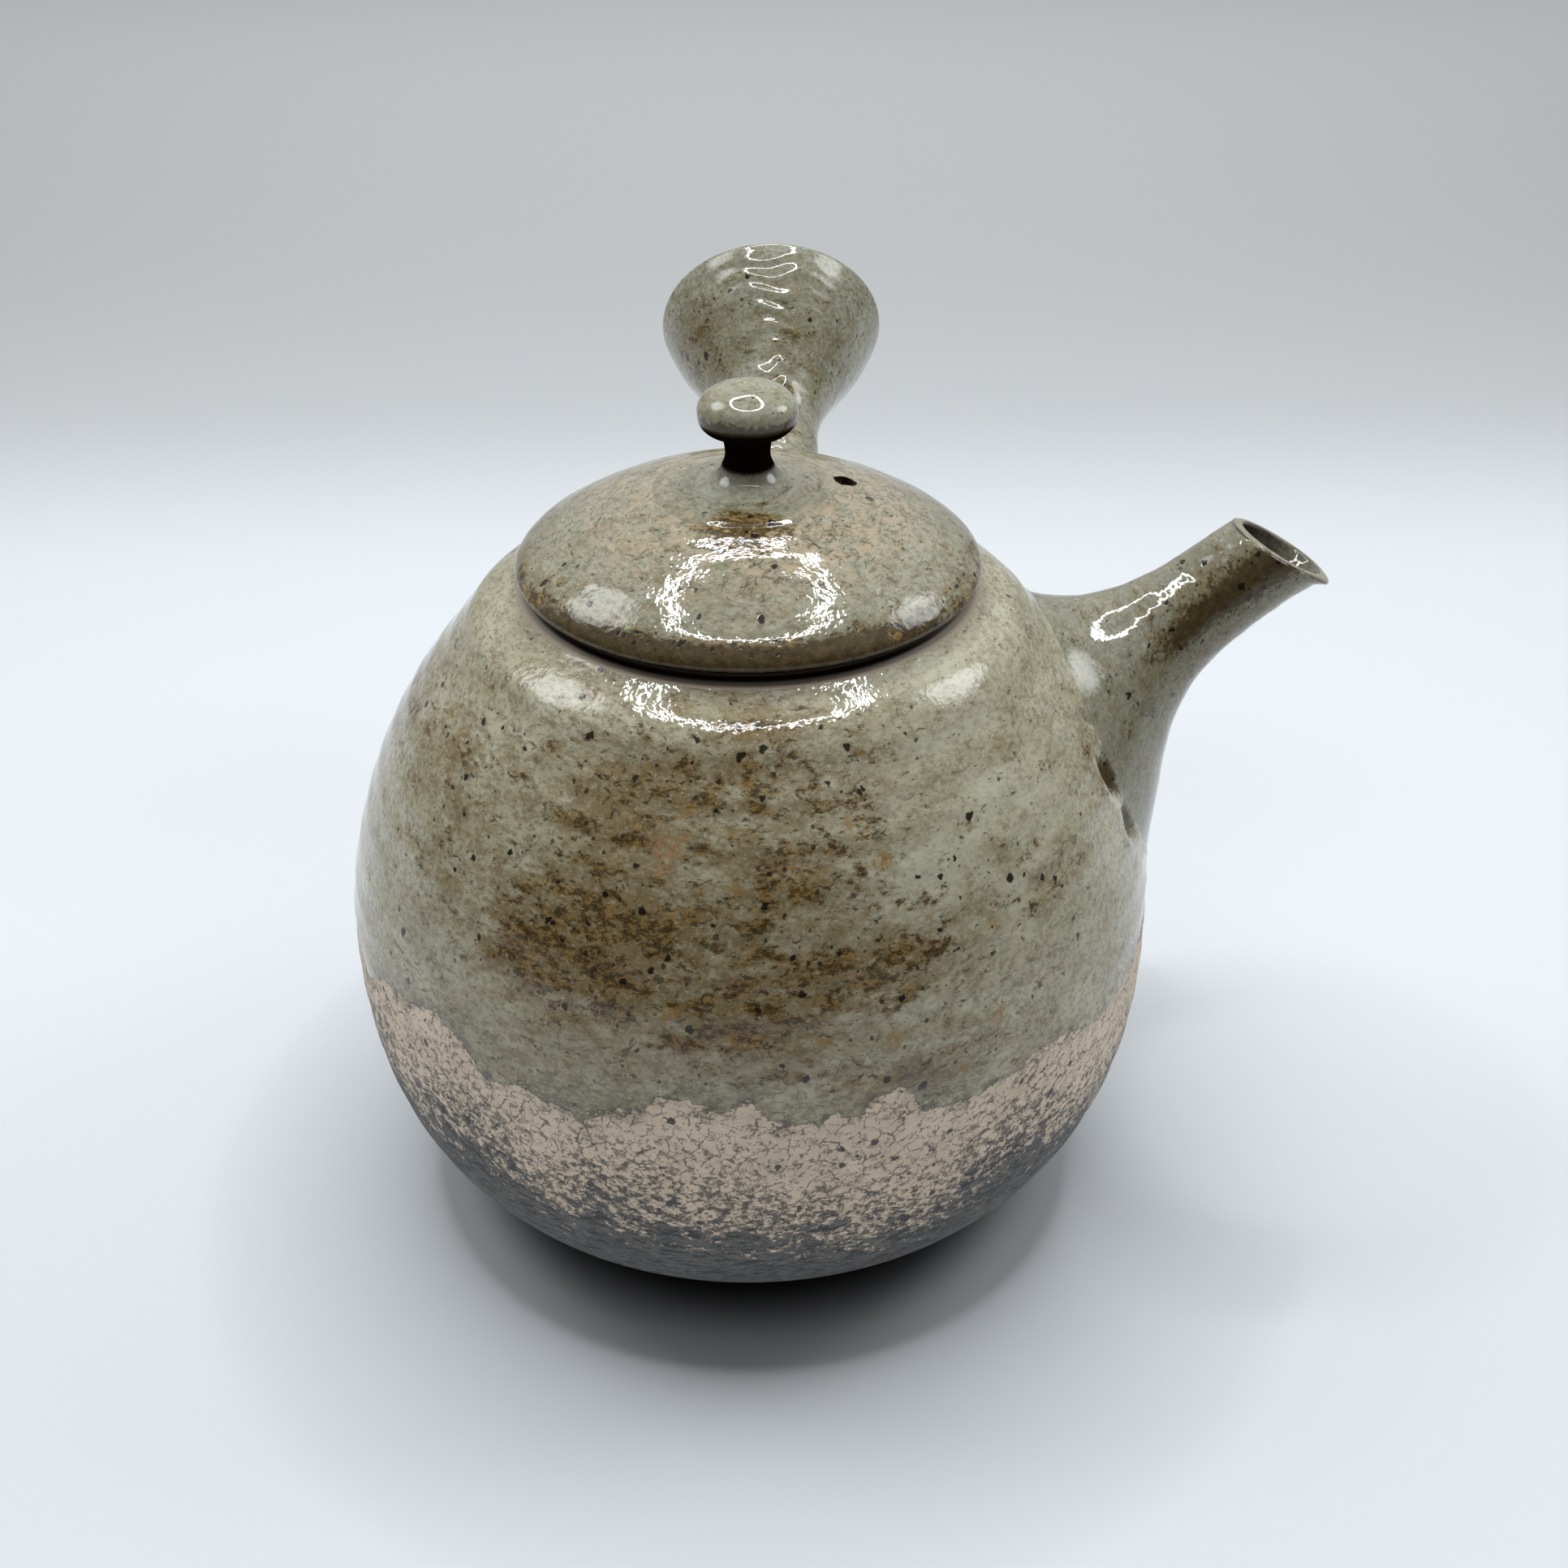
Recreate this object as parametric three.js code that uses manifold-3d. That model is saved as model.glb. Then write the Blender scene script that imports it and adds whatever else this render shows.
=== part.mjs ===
// Side-handled teapot of thrown stoneware, in millimetres, +Z up.
// The origin is the centre of the flat foot, the spout points to +X and the handle leaves near +Y.
import * as THREE from 'three';
import { mergeVertices } from 'three/addons/utils/BufferGeometryUtils.js';
import Module from 'manifold-3d';

// Clearance between pieces that touch, and how far every cutting tool runs past its work
const pieceGap = 0.3;
const cutOverrun = 6;

// Body
const bellyRadius = 50;
const bellyHeight = 38;
const footRadius = 25;
const rimRadius = 26;
const rimHeight = 84;
const rimWidth = 3.6;
const rimEdge = 0.6;
const collarDepth = 3;
const wallThickness = 3.2;
const floorThickness = 4.5;
const shoulderAngle = 27;
const footAngle = 20;
const shoulderFullnessShare = 0.5;
const shoulderRunShare = 0.41;
const underBellyFullnessShare = 0.52;
const underBellyRunShare = 0.8;

// Lid
const lidOverhang = 1.1;
const lidEdgeHeight = 1;
const lidUndercut = 1.6;
const lidDomeRise = 9.2;
const lidThickness = 3.2;
const lidEdgeAngle = 90;
const domeCrownAngle = 12;
const domeEdgeShare = 0.11;
const domeCrownShare = 0.24;
const flangeDepth = 10;
const flangeThickness = 2.4;
const flangeClearance = 0.5;
const flangeEdge = 0.6;
const padRadius = 8.1;
const padHeight = 0.4;
const ventRadius = 1.3;
const ventDistance = 11.4;
const ventTurn = 4;

// Knob
const knobRadius = 5.7;
const knobMiddle = 8.35;
const knobHeight = 11.5;
const knobNeckRadius = 2.6;
const knobNeckHeight = 2.9;
const knobNeckTopRadius = 3;
const knobFootRadius = 7.6;
const knobFootEdge = 0.3;
const knobUnderHeight = 5.4;
const knobUnderRise = 1.1;
const knobUnderShare = 0.8;
const knobSideShare = 0.6;

// Spout, with its root and its tip placed below the rim
const spoutRootDrop = 19.4;
const spoutRootAngle = 35;
const spoutRootRadius = 14.4;
const spoutFootRadius = 21;
const spoutReach = 65.1;
const spoutTipDrop = 2.1;
const spoutTipAngle = 27.5;
const spoutTipRadius = 6;
const spoutFlarePower = 3.8;
const spoutFootSpread = 3.3;
const spoutTipWall = 1.6;
const spoutRootWall = 2.8;
const spoutCutAngle = 60;
const spoutHoleRadius = 8.5;

// Strainer
const strainerRadius = 14;
const strainerDepth = 9;
const strainerThickness = 1.7;
const strainerHoleRadius = 0.9;
const strainerHoleSpacing = 3.3;
const strainerRings = 4;

// Handle
const handleRootHeight = 56.2;
const handleOffset = 3.9;
const handleLength = 55.6;
const handleAngle = 23.5;
const handleTurn = 82;
const handleMouthRadius = 17.2;
const handleNeckRadius = 6.7;
const handleRootRadius = 9.5;
const handleRootFlare = 14;
const handleBellLength = 25.6;
const handleWall = 2.2;
const handleLip = 0.6;
const bellMouthAngle = 72;
const bellNeckShare = 0.4;
const bellMouthShare = 0.5;

// Facets round each turned piece and steps along each curve
const bodyFacets = 60;
const lidFacets = 44;
const knobFacets = 24;
const handleFacets = 30;
const spoutFacets = 28;
const strainerFacets = 20;
const ventFacets = 12;
const holeFacets = 6;
const wallSteps = 9;
const roomSteps = 6;
const domeSteps = 7;
const shortSteps = 4;
const bellSteps = 7;
const knobSteps = 6;
const spoutSteps = 12;
const strainerSteps = 4;
const bisections = 40;

const wasm = await Module();
wasm.setup();

const radians = THREE.MathUtils.degToRad;
const mix = THREE.MathUtils.lerp;
const mouthRadius = rimRadius - rimWidth;
const spoutRootHeight = rimHeight - spoutRootDrop;
const spoutTipHeight = rimHeight - spoutTipDrop;

// Outlines

// A point of a turned outline: its distance from the axis, and its height
function point(radius, height) {
  return new THREE.Vector2(radius, height);
}

// The point that lies a distance from another one, at an angle above the horizontal
function polar(start, distance, degrees) {
  const angle = radians(degrees);
  return point(start.x + distance * Math.cos(angle), start.y + distance * Math.sin(angle));
}

// Points along a curve, each moved square to it: to its right where the distance is positive
function offsetPoints(curve, steps, distance) {
  return Array.from({ length: steps + 1 }, (_, i) => {
    const at = curve.getPoint(i / steps);
    const along = curve.getTangent(i / steps);
    return point(at.x + distance * along.y, at.y - distance * along.x);
  });
}

// Solids and meshes

// The closed solid of a geometry, with doubled corners merged and flat slivers left out
function toSolid(geometry) {
  const bare = geometry.clone();
  bare.deleteAttribute('normal');
  bare.deleteAttribute('uv');
  const merged = mergeVertices(bare);
  const corners = merged.getIndex().array;
  const kept = [];
  for (let i = 0; i < corners.length; i += 3) {
    const [a, b, c] = corners.slice(i, i + 3);
    if (a !== b && b !== c && c !== a) kept.push(a, b, c);
  }
  return new wasm.Manifold(new wasm.Mesh({
    numProp: 3,
    vertProperties: new Float32Array(merged.getAttribute('position').array),
    triVerts: new Uint32Array(kept),
  }));
}

function toGeometry(solid) {
  const { vertProperties, triVerts } = solid.getMesh();
  const geometry = new THREE.BufferGeometry();
  geometry.setAttribute('position', new THREE.BufferAttribute(new Float32Array(vertProperties), 3));
  geometry.setIndex(new THREE.BufferAttribute(new Uint32Array(triVerts), 1));
  return geometry;
}

// An outline turned about the Z axis
function turned(outline, facets) {
  return new THREE.LatheGeometry(outline, facets).rotateX(Math.PI / 2);
}

// A tube lofted through rings of corners, from the first ring to the last and back to the first
function lofted(rings) {
  const around = rings[0].length;
  const index = [];
  for (let i = 0; i < rings.length; i += 1) {
    const next = (i + 1) % rings.length;
    for (let j = 0; j < around; j += 1) {
      const side = (j + 1) % around;
      const [a, b] = [i * around + j, i * around + side];
      const [c, d] = [next * around + j, next * around + side];
      index.push(a, b, d, a, d, c);
    }
  }
  const corners = rings.flat().flatMap((corner) => corner.toArray());
  const geometry = new THREE.BufferGeometry();
  geometry.setAttribute('position', new THREE.Float32BufferAttribute(corners, 3));
  return geometry.setIndex(index);
}

function namedMesh(name, solid, material) {
  const mesh = new THREE.Mesh(toGeometry(solid), material);
  mesh.name = name;
  return mesh;
}

// A geometry of the pot's own frame, as it lies in the frame of a group
function seenFrom(frame, geometry) {
  frame.updateWorldMatrix(true, false);
  return geometry.applyMatrix4(frame.matrixWorld.clone().invert());
}

// Body

const footEdge = point(footRadius, 0);
const belly = point(bellyRadius, bellyHeight);
const shoulderEnd = point(rimRadius, rimHeight - rimEdge);

const underBellyCurve = new THREE.CubicBezierCurve(
  footEdge,
  polar(footEdge, underBellyRunShare * (bellyRadius - footRadius), footAngle),
  point(bellyRadius, bellyHeight * (1 - underBellyFullnessShare)),
  belly,
);

const shoulderCurve = new THREE.CubicBezierCurve(
  belly,
  point(bellyRadius, mix(bellyHeight, rimHeight, shoulderFullnessShare)),
  polar(shoulderEnd, shoulderRunShare * (bellyRadius - rimRadius), -shoulderAngle),
  shoulderEnd,
);

// The wall's outline from the foot's edge to the rim, moved outwards by a distance
function wallOutline(distance, steps) {
  const lower = offsetPoints(underBellyCurve, steps, distance);
  const upper = offsetPoints(shoulderCurve, steps, distance);
  return [...lower, ...upper.slice(1)];
}

// Everything inside the body's outer face, grown by a gap
function bodyEnvelope(gap) {
  const outline = [point(0, -gap), point(footRadius, -gap), ...wallOutline(gap, wallSteps)];
  return turned([...outline, point(0, rimHeight + gap)], bodyFacets);
}

// The outline of the room inside the walls, made smaller by a gap
function roomOutline(gap) {
  const floor = floorThickness + gap;
  const wall = wallOutline(-wallThickness - gap, roomSteps).filter((corner) => corner.y > floor);
  return [point(0, floor), point(footRadius, floor), ...wall];
}

function bodyRoom(gap) {
  const outline = roomOutline(gap);
  return turned([...outline, point(0, outline.at(-1).y)], bodyFacets);
}

// The wall's outer face at a height: its distance from the axis, and how far it leans in
function wallAt(height) {
  const curve = height < bellyHeight ? underBellyCurve : shoulderCurve;
  let [low, high] = [0, 1];
  for (let i = 0; i < bisections; i += 1) {
    const middle = (low + high) / 2;
    if (curve.getPoint(middle).y < height) low = middle;
    else high = middle;
  }
  const along = curve.getTangent(low);
  return { radius: curve.getPoint(low).x, lean: Math.atan2(-along.x, along.y) };
}

function makeBody() {
  const rim = [
    point(rimRadius - rimEdge, rimHeight),
    point(mouthRadius + rimEdge, rimHeight),
    point(mouthRadius, rimHeight - rimEdge),
    point(mouthRadius, rimHeight - collarDepth),
  ];
  const outline = [point(0, 0), ...wallOutline(0, wallSteps), ...rim, ...roomOutline(0).reverse()];
  return toSolid(turned(outline, bodyFacets)).subtract(toSolid(spoutHole()));
}

// Spout

const spoutRoot = wallAt(spoutRootHeight);

// The middle line, from inside the wall to past the tip
const spoutLine = (() => {
  const root = point(spoutRoot.radius, spoutRootHeight);
  const tip = point(spoutReach, spoutTipHeight);
  const start = polar(root, -wallThickness - cutOverrun, spoutRootAngle);
  const end = polar(tip, cutOverrun, spoutTipAngle);
  const third = start.distanceTo(end) / 3;
  return new THREE.CubicBezierCurve(
    start,
    polar(start, third, spoutRootAngle),
    polar(end, -third, spoutTipAngle),
    end,
  );
})();

// One round ring of the spout at a share of its line, on the outer face or on the bore.
// The radius grows from the tip to the root by a power of the distance, then evenly to the foot.
function spoutRing(share, isBore) {
  const centre = spoutLine.getPointAt(share);
  const along = spoutLine.getTangentAt(share);
  const inside = wallThickness + cutOverrun;
  const length = spoutLine.getLength() - inside - cutOverrun;
  const toTip = Math.max(0, 1 - (share * spoutLine.getLength() - inside) / length);
  const wall = isBore ? mix(spoutTipWall, spoutRootWall, Math.min(1, toTip)) : 0;
  const growth = toTip < 1 ? toTip ** spoutFlarePower : 1 + spoutFootSpread * (toTip - 1);
  const flare = mix(spoutTipRadius, spoutRootRadius, growth);
  const radius = Math.min(flare, spoutFootRadius) - wall;
  return Array.from({ length: spoutFacets }, (_, j) => {
    const turn = (j / spoutFacets) * 2 * Math.PI;
    const rise = radius * Math.sin(turn);
    return new THREE.Vector3(centre.x - rise * along.y, radius * Math.cos(turn), centre.y + rise * along.x);
  });
}

function spoutTube() {
  const shares = Array.from({ length: spoutSteps + 1 }, (_, i) => i / spoutSteps);
  const outside = shares.map((share) => spoutRing(share, false));
  const bore = shares.map((share) => spoutRing(share, true)).reverse();
  return lofted([...outside, ...bore]);
}

// A block whose lower face lies along the slanting cut of the beak
function beakCut() {
  const reach = 6 * spoutTipRadius;
  const block = new THREE.BoxGeometry(reach, reach, reach).translate(0, 0, reach / 2);
  return block.rotateY(radians(90 - spoutCutAngle)).translate(spoutReach, 0, spoutTipHeight);
}

function makeSpout() {
  return toSolid(spoutTube()).subtract(toSolid(beakCut())).subtract(toSolid(bodyEnvelope(pieceGap)));
}

// A round hole through the wall, square to it, in the middle of the spout's root
function spoutHole() {
  const length = 2 * (wallThickness + cutOverrun);
  const drill = new THREE.CylinderGeometry(spoutHoleRadius, spoutHoleRadius, length, spoutFacets);
  return drill.rotateZ(spoutRoot.lean - Math.PI / 2).rotateX(Math.PI / 2)
    .translate(spoutRoot.radius, 0, spoutRootHeight);
}

// Strainer

// A frame on the wall's inner face behind the spout, with +Z square to it and into the pot
const strainerFrame = new THREE.Group();
strainerFrame.rotation.y = -Math.PI / 2 - spoutRoot.lean;
strainerFrame.position.set(
  spoutRoot.radius - wallThickness * Math.cos(spoutRoot.lean),
  0,
  spoutRootHeight - wallThickness * Math.sin(spoutRoot.lean),
);

// A dome of clay, whose centre lies behind the wall's face
function strainerDome() {
  const centre = strainerDepth - strainerRadius;
  const arc = (radius) => Array.from({ length: strainerSteps + 1 }, (_, i) => {
    const angle = (i / strainerSteps) * (Math.PI / 2);
    return point(radius * Math.cos(angle), centre + radius * Math.sin(angle));
  });
  return turned([...arc(strainerRadius - strainerThickness).reverse(), ...arc(strainerRadius)], strainerFacets);
}

// One round hole through the dome, on a ring round its crown
function strainerDrill(ring, turn) {
  const length = 2 * strainerRadius;
  const drill = new THREE.CylinderGeometry(strainerHoleRadius, strainerHoleRadius, length, holeFacets);
  return drill.translate(0, length / 2, 0).rotateX(Math.PI / 2)
    .rotateY(ring * strainerHoleSpacing / strainerRadius).rotateZ(turn)
    .translate(0, 0, strainerDepth - strainerRadius);
}

function makeStrainer() {
  let dome = toSolid(strainerDome()).intersect(toSolid(seenFrom(strainerFrame, bodyRoom(pieceGap))));
  for (let ring = 0; ring <= strainerRings; ring += 1) {
    const count = Math.max(1, 6 * ring);
    for (let i = 0; i < count; i += 1) {
      dome = dome.subtract(toSolid(strainerDrill(ring, (i / count) * 2 * Math.PI)));
    }
  }
  return dome;
}

// Handle

const handleRoot = wallAt(handleRootHeight);

// The pot turned so that the handle leaves along its +Y
const handleSide = new THREE.Group();
handleSide.rotation.z = radians(handleTurn) - Math.PI / 2;

// A frame at the handle's root, a little to the spout's side of the middle, with +Z along the handle
const handleFrame = new THREE.Group();
handleFrame.rotation.x = radians(handleAngle) - Math.PI / 2;
handleFrame.position.set(handleOffset, Math.sqrt(handleRoot.radius ** 2 - handleOffset ** 2), handleRootHeight);
handleSide.add(handleFrame);

// Outer and inner outlines from the root to the mouth
function handleOutline(distance) {
  const neckLow = point(handleNeckRadius, handleRootFlare);
  const neckHigh = point(handleNeckRadius, handleLength - handleBellLength);
  const mouth = point(handleMouthRadius, handleLength);
  const root = point(handleRootRadius, 0);
  const flare = new THREE.QuadraticBezierCurve(root, point(handleNeckRadius, root.y + handleRootFlare / 3), neckLow);
  const bell = new THREE.CubicBezierCurve(
    neckHigh,
    point(neckHigh.x, neckHigh.y + bellNeckShare * handleBellLength),
    polar(mouth, -bellMouthShare * handleBellLength, bellMouthAngle),
    mouth,
  );
  return [...offsetPoints(flare, shortSteps, distance), ...offsetPoints(bell, bellSteps, distance)];
}

function makeHandle() {
  const below = -cutOverrun - wallThickness;
  const outside = [point(handleRootRadius, below), ...handleOutline(0)];
  const inside = [point(handleRootRadius - handleWall, below), ...handleOutline(-handleWall)];
  const lip = point(
    (outside.at(-1).x + inside.at(-1).x) / 2,
    (outside.at(-1).y + inside.at(-1).y) / 2,
  );
  const tube = [...outside, polar(lip, handleLip, bellMouthAngle), ...inside.reverse(), outside[0]];
  return toSolid(turned(tube, handleFacets)).subtract(toSolid(seenFrom(handleFrame, bodyEnvelope(pieceGap))));
}

// Lid

// The lid's frame lies on its seat, just above the rim
const lidFrame = new THREE.Group();
lidFrame.position.z = rimHeight + pieceGap;

const lidRadius = rimRadius + lidOverhang;
const lidWidest = point(lidRadius, lidEdgeHeight);
const crownHeight = lidEdgeHeight + lidDomeRise;

// The dome's upper face, from its edge to the knob's pad
const domeCurve = (() => {
  const crown = point(padRadius, crownHeight);
  const run = lidRadius - padRadius;
  return new THREE.CubicBezierCurve(
    lidWidest,
    polar(lidWidest, domeEdgeShare * run, 180 - lidEdgeAngle),
    polar(crown, domeCrownShare * run, -domeCrownAngle),
    crown,
  );
})();

function ventDrill() {
  const drill = new THREE.CylinderGeometry(ventRadius, ventRadius, 4 * crownHeight, ventFacets);
  const turn = radians(ventTurn);
  return drill.rotateX(Math.PI / 2).translate(ventDistance * Math.cos(turn), ventDistance * Math.sin(turn), 0);
}

function makeLid() {
  const flangeOuter = mouthRadius - flangeClearance;
  const flangeInner = flangeOuter - flangeThickness;
  const underside = offsetPoints(domeCurve, domeSteps, -lidThickness).filter((corner) => corner.x < flangeInner);
  const seatEnd = point(lidRadius - lidUndercut, 0);
  const edge = new THREE.QuadraticBezierCurve(seatEnd, point(lidRadius, lidEdgeHeight / 3), lidWidest);
  const outline = [
    point(0, crownHeight - lidThickness),
    ...underside.reverse(),
    point(flangeInner, underside.at(-1).y),
    point(flangeInner, flangeEdge - flangeDepth),
    point(flangeInner + flangeEdge, -flangeDepth),
    point(flangeOuter - flangeEdge, -flangeDepth),
    point(flangeOuter, flangeEdge - flangeDepth),
    point(flangeOuter, 0),
    ...edge.getPoints(shortSteps),
    ...domeCurve.getPoints(domeSteps).slice(1),
    point(padRadius - padHeight, crownHeight + padHeight),
    point(0, crownHeight + padHeight),
  ];
  return toSolid(turned(outline, lidFacets)).subtract(toSolid(ventDrill()));
}

// Knob

// The knob's frame lies on its foot, just above the lid's pad
const knobFrame = new THREE.Group();
knobFrame.position.z = crownHeight + padHeight + pieceGap;

function makeKnob() {
  const footTop = point(knobFootRadius, knobFootEdge);
  const neck = point(knobNeckRadius, knobNeckHeight);
  const flare = new THREE.QuadraticBezierCurve(footTop, point(knobNeckRadius, knobFootEdge), neck);
  const under = point(knobNeckTopRadius, knobUnderHeight);
  const widest = point(knobRadius, knobMiddle);
  const underside = new THREE.CubicBezierCurve(
    under,
    point(mix(under.x, widest.x, knobUnderShare), under.y + knobUnderRise * knobUnderShare / 2),
    point(widest.x, mix(widest.y, under.y, knobSideShare)),
    widest,
  );
  const cap = new THREE.EllipseCurve(0, knobMiddle, knobRadius, knobHeight - knobMiddle, 0, Math.PI / 2);
  const outline = [
    point(0, 0),
    point(knobFootRadius, 0),
    ...flare.getPoints(shortSteps),
    ...underside.getPoints(knobSteps),
    ...cap.getPoints(knobSteps).slice(1),
  ];
  return toSolid(turned(outline, knobFacets));
}

// Finishes

function glaze(color) {
  return new THREE.MeshStandardMaterial({ color, roughness: 0.25, metalness: 0 });
}

function bareClay(color) {
  return new THREE.MeshStandardMaterial({ color, roughness: 0.8, metalness: 0 });
}

// Assembly

strainerFrame.add(namedMesh('strainer', makeStrainer(), bareClay(0x6f655a)));
handleFrame.add(namedMesh('handle', makeHandle(), glaze(0x85856f)));
knobFrame.add(namedMesh('knob', makeKnob(), glaze(0x7f7d62)));
lidFrame.add(namedMesh('lid', makeLid(), glaze(0x8f8670)), knobFrame);

const teapot = new THREE.Group();
teapot.add(namedMesh('body', makeBody(), glaze(0x87806a)));
teapot.add(namedMesh('spout', makeSpout(), glaze(0x83826b)));
teapot.add(strainerFrame, handleSide, lidFrame);

export default teapot;
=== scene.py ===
"""A side-handled teapot of thrown stoneware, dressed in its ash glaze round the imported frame.

The pieces are turned or lofted from the frame's own outlines as fine skins, then given the marks of the
potter's hands: throwing rings, luted seams, a wavy glaze edge, a crackled slip band and bare clay. Shapes are
worked out in millimetres and become metres when a mesh is made. The spout points to +X.
"""

import logging
import math
from dataclasses import dataclass, field
from enum import Enum

import bpy
import numpy as np
from mathutils import Matrix, Vector


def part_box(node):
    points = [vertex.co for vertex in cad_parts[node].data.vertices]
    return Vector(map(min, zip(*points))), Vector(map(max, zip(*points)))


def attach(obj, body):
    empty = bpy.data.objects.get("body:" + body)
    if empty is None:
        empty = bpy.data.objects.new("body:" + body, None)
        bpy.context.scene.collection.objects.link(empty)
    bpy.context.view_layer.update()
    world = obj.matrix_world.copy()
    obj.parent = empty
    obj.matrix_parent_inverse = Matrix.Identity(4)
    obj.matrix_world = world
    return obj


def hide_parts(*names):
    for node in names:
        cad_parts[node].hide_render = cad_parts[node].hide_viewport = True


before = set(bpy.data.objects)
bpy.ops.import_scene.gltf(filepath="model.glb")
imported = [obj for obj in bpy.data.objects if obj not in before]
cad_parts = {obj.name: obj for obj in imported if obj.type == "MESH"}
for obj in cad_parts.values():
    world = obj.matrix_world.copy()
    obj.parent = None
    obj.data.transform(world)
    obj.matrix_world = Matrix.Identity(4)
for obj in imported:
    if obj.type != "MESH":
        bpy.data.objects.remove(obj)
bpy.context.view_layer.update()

LOG = logging.getLogger("teapot")
MM = 0.001
# How far the pot is turned from the viewer's own axes, in degrees
POT_TURN = -8.0
VIEW_TURN = Matrix.Rotation(math.radians(POT_TURN), 3, "Z")
# The direction round the pot that faces the viewer
NEAR_SIDE = -93.0
# The rim's height, and how far below it the spout's hole and root lie
RIM_HEIGHT = 84.0
SPOUT_DROP = 19.4
LAMP_COLOUR = (0.95, 0.98, 1.0)
# Near-black of the painted shade that is mixed in where crevices, gaps and bores would lie in shadow
CREVICE_SHADE_COLOUR = (0.005, 0.0032, 0.002, 1.0)


class Rider(Enum):
    """The frame's bodies that a piece can ride on."""

    POT = "pot"
    LID = "lid"


class Cell(Enum):
    """What a cell texture measures."""

    CENTRE = "F1"
    EDGE = "DISTANCE_TO_EDGE"


# Shapes


def polar(start: tuple, distance: float, degrees: float) -> tuple:
    """Returns the point a distance from start, at an angle above the horizontal."""
    angle = math.radians(degrees)
    return (start[0] + distance * math.cos(angle), start[1] + distance * math.sin(angle))


def bezier(corners: list, count: int) -> np.ndarray:
    """Samples a Bezier curve.

    Args:
        corners: Its control points, each (distance from the axis, height).
        count: How many steps to take.

    Returns:
        The count + 1 points, one row each.
    """
    share = np.linspace(0, 1, count + 1)[:, None, None]
    level = np.repeat(np.asarray(corners, float)[None], count + 1, axis=0)
    while level.shape[1] > 1:
        level = level[:, :-1] * (1 - share) + level[:, 1:] * share
    return level[:, 0]


def resampled(line: np.ndarray, step: float) -> np.ndarray:
    """Spaces a line's points evenly, at most a step apart, and keeps both ends.

    Args:
        line: Points, one row each.
        step: The longest spacing.

    Returns:
        The new points.
    """
    lengths = np.r_[0, np.cumsum(np.linalg.norm(np.diff(line, axis=0), axis=1))]
    wanted = np.linspace(0, lengths[-1], max(2, math.ceil(lengths[-1] / step) + 1))
    return np.stack([np.interp(wanted, lengths, line[:, i]) for i in range(line.shape[1])], axis=1)


def joined(parts: list) -> np.ndarray:
    """Joins lines end to end and drops the doubled points.

    Args:
        parts: Lines of points, each starting where the one before ends.

    Returns:
        One line.
    """
    line = np.vstack(parts)
    moved = np.linalg.norm(np.diff(line, axis=0), axis=1) > 1e-6
    return line[np.r_[True, moved]]


def tangents(line: np.ndarray) -> np.ndarray:
    """Returns the unit direction of travel at each point of a line."""
    along = np.gradient(line, axis=0)
    return along / np.linalg.norm(along, axis=1)[:, None]


def offset(line: np.ndarray, distance: float) -> np.ndarray:
    """Returns the line moved to its right by a distance."""
    along = tangents(line)
    return line + distance * np.stack([along[:, 1], -along[:, 0]], axis=1)


def softened(low: tuple, corner: tuple, high: tuple, radius: float) -> np.ndarray:
    """Rounds a corner of an outline.

    Args:
        low: A point before the corner.
        corner: The corner itself.
        high: A point after it.
        radius: How far from the corner the rounding starts.

    Returns:
        The few points of the rounding.
    """
    corner_at = np.asarray(corner, float)
    ends = []
    for side in (low, high):
        way = np.asarray(side, float) - corner_at
        ends.append(corner_at + way * min(1.0, radius / np.linalg.norm(way)))
    return bezier([ends[0], corner_at, ends[1]], 6)


def ripple(across: np.ndarray, along: np.ndarray, seed: int, scale: float, count: int = 9) -> np.ndarray:
    """A smooth seeded unevenness, built from a few crossing waves.

    Args:
        across: An angle in radians round the piece, at each point.
        along: A distance along the outline in millimetres, at each point.
        seed: Chooses the waves.
        scale: The shortest wave along the outline, in millimetres.
        count: How many waves to add.

    Returns:
        A value of about -1 to 1 at each point.
    """
    chance = np.random.default_rng(seed)
    total = np.zeros(np.broadcast(across, along).shape)
    for _ in range(count):
        turns = int(chance.integers(1, 7))
        length = scale * chance.uniform(1, 4)
        phase = chance.uniform(0, 2 * math.pi, 2)
        total = total + np.cos(turns * across + phase[0]) * np.cos(2 * math.pi * along / length + phase[1])
    return total / math.sqrt(count)


def hill(value: np.ndarray, middle: float, width: float) -> np.ndarray:
    """Returns a soft hill: 1 where the value is at its middle, 0 well away from it."""
    return np.exp(-(((value - middle) / width) ** 2))


def fillet(distance: np.ndarray) -> np.ndarray:
    """Returns how far the clay stands up at a distance from a luted seam, in millimetres."""
    return 0.5 * np.exp(-distance / 1.1)


def spotted(direction: np.ndarray, level: np.ndarray, spots: tuple) -> np.ndarray:
    """Adds up soft spots round a piece.

    Args:
        direction: Each point's direction in degrees.
        level: Its height, or its distance along the piece, in millimetres.
        spots: Each spot's direction, level, half width in degrees, half height and strength.

    Returns:
        Their sum at each point.
    """
    total = np.zeros(len(direction))
    for middle, height, wide, tall, strength in spots:
        turn = (direction - middle + 180) % 360 - 180
        total += strength * np.exp(-((turn / wide) ** 2) - ((level - height) / tall) ** 2)
    return total


def swept(outline: np.ndarray, around: int) -> tuple[np.ndarray, np.ndarray]:
    """Turns an outline about the Z axis.

    Args:
        outline: Points (distance from the axis, height).
        around: How many columns the grid gets.

    Returns:
        The grid of points (rows, columns, 3), and the columns' angles in radians.
    """
    angle = np.linspace(0, 2 * math.pi, around, endpoint=False)
    radius, height = outline[:, 0][:, None], outline[:, 1][:, None]
    ones = np.ones_like(angle)
    return np.stack([radius * np.cos(angle), radius * np.sin(angle), height * ones], axis=2), angle


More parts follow.
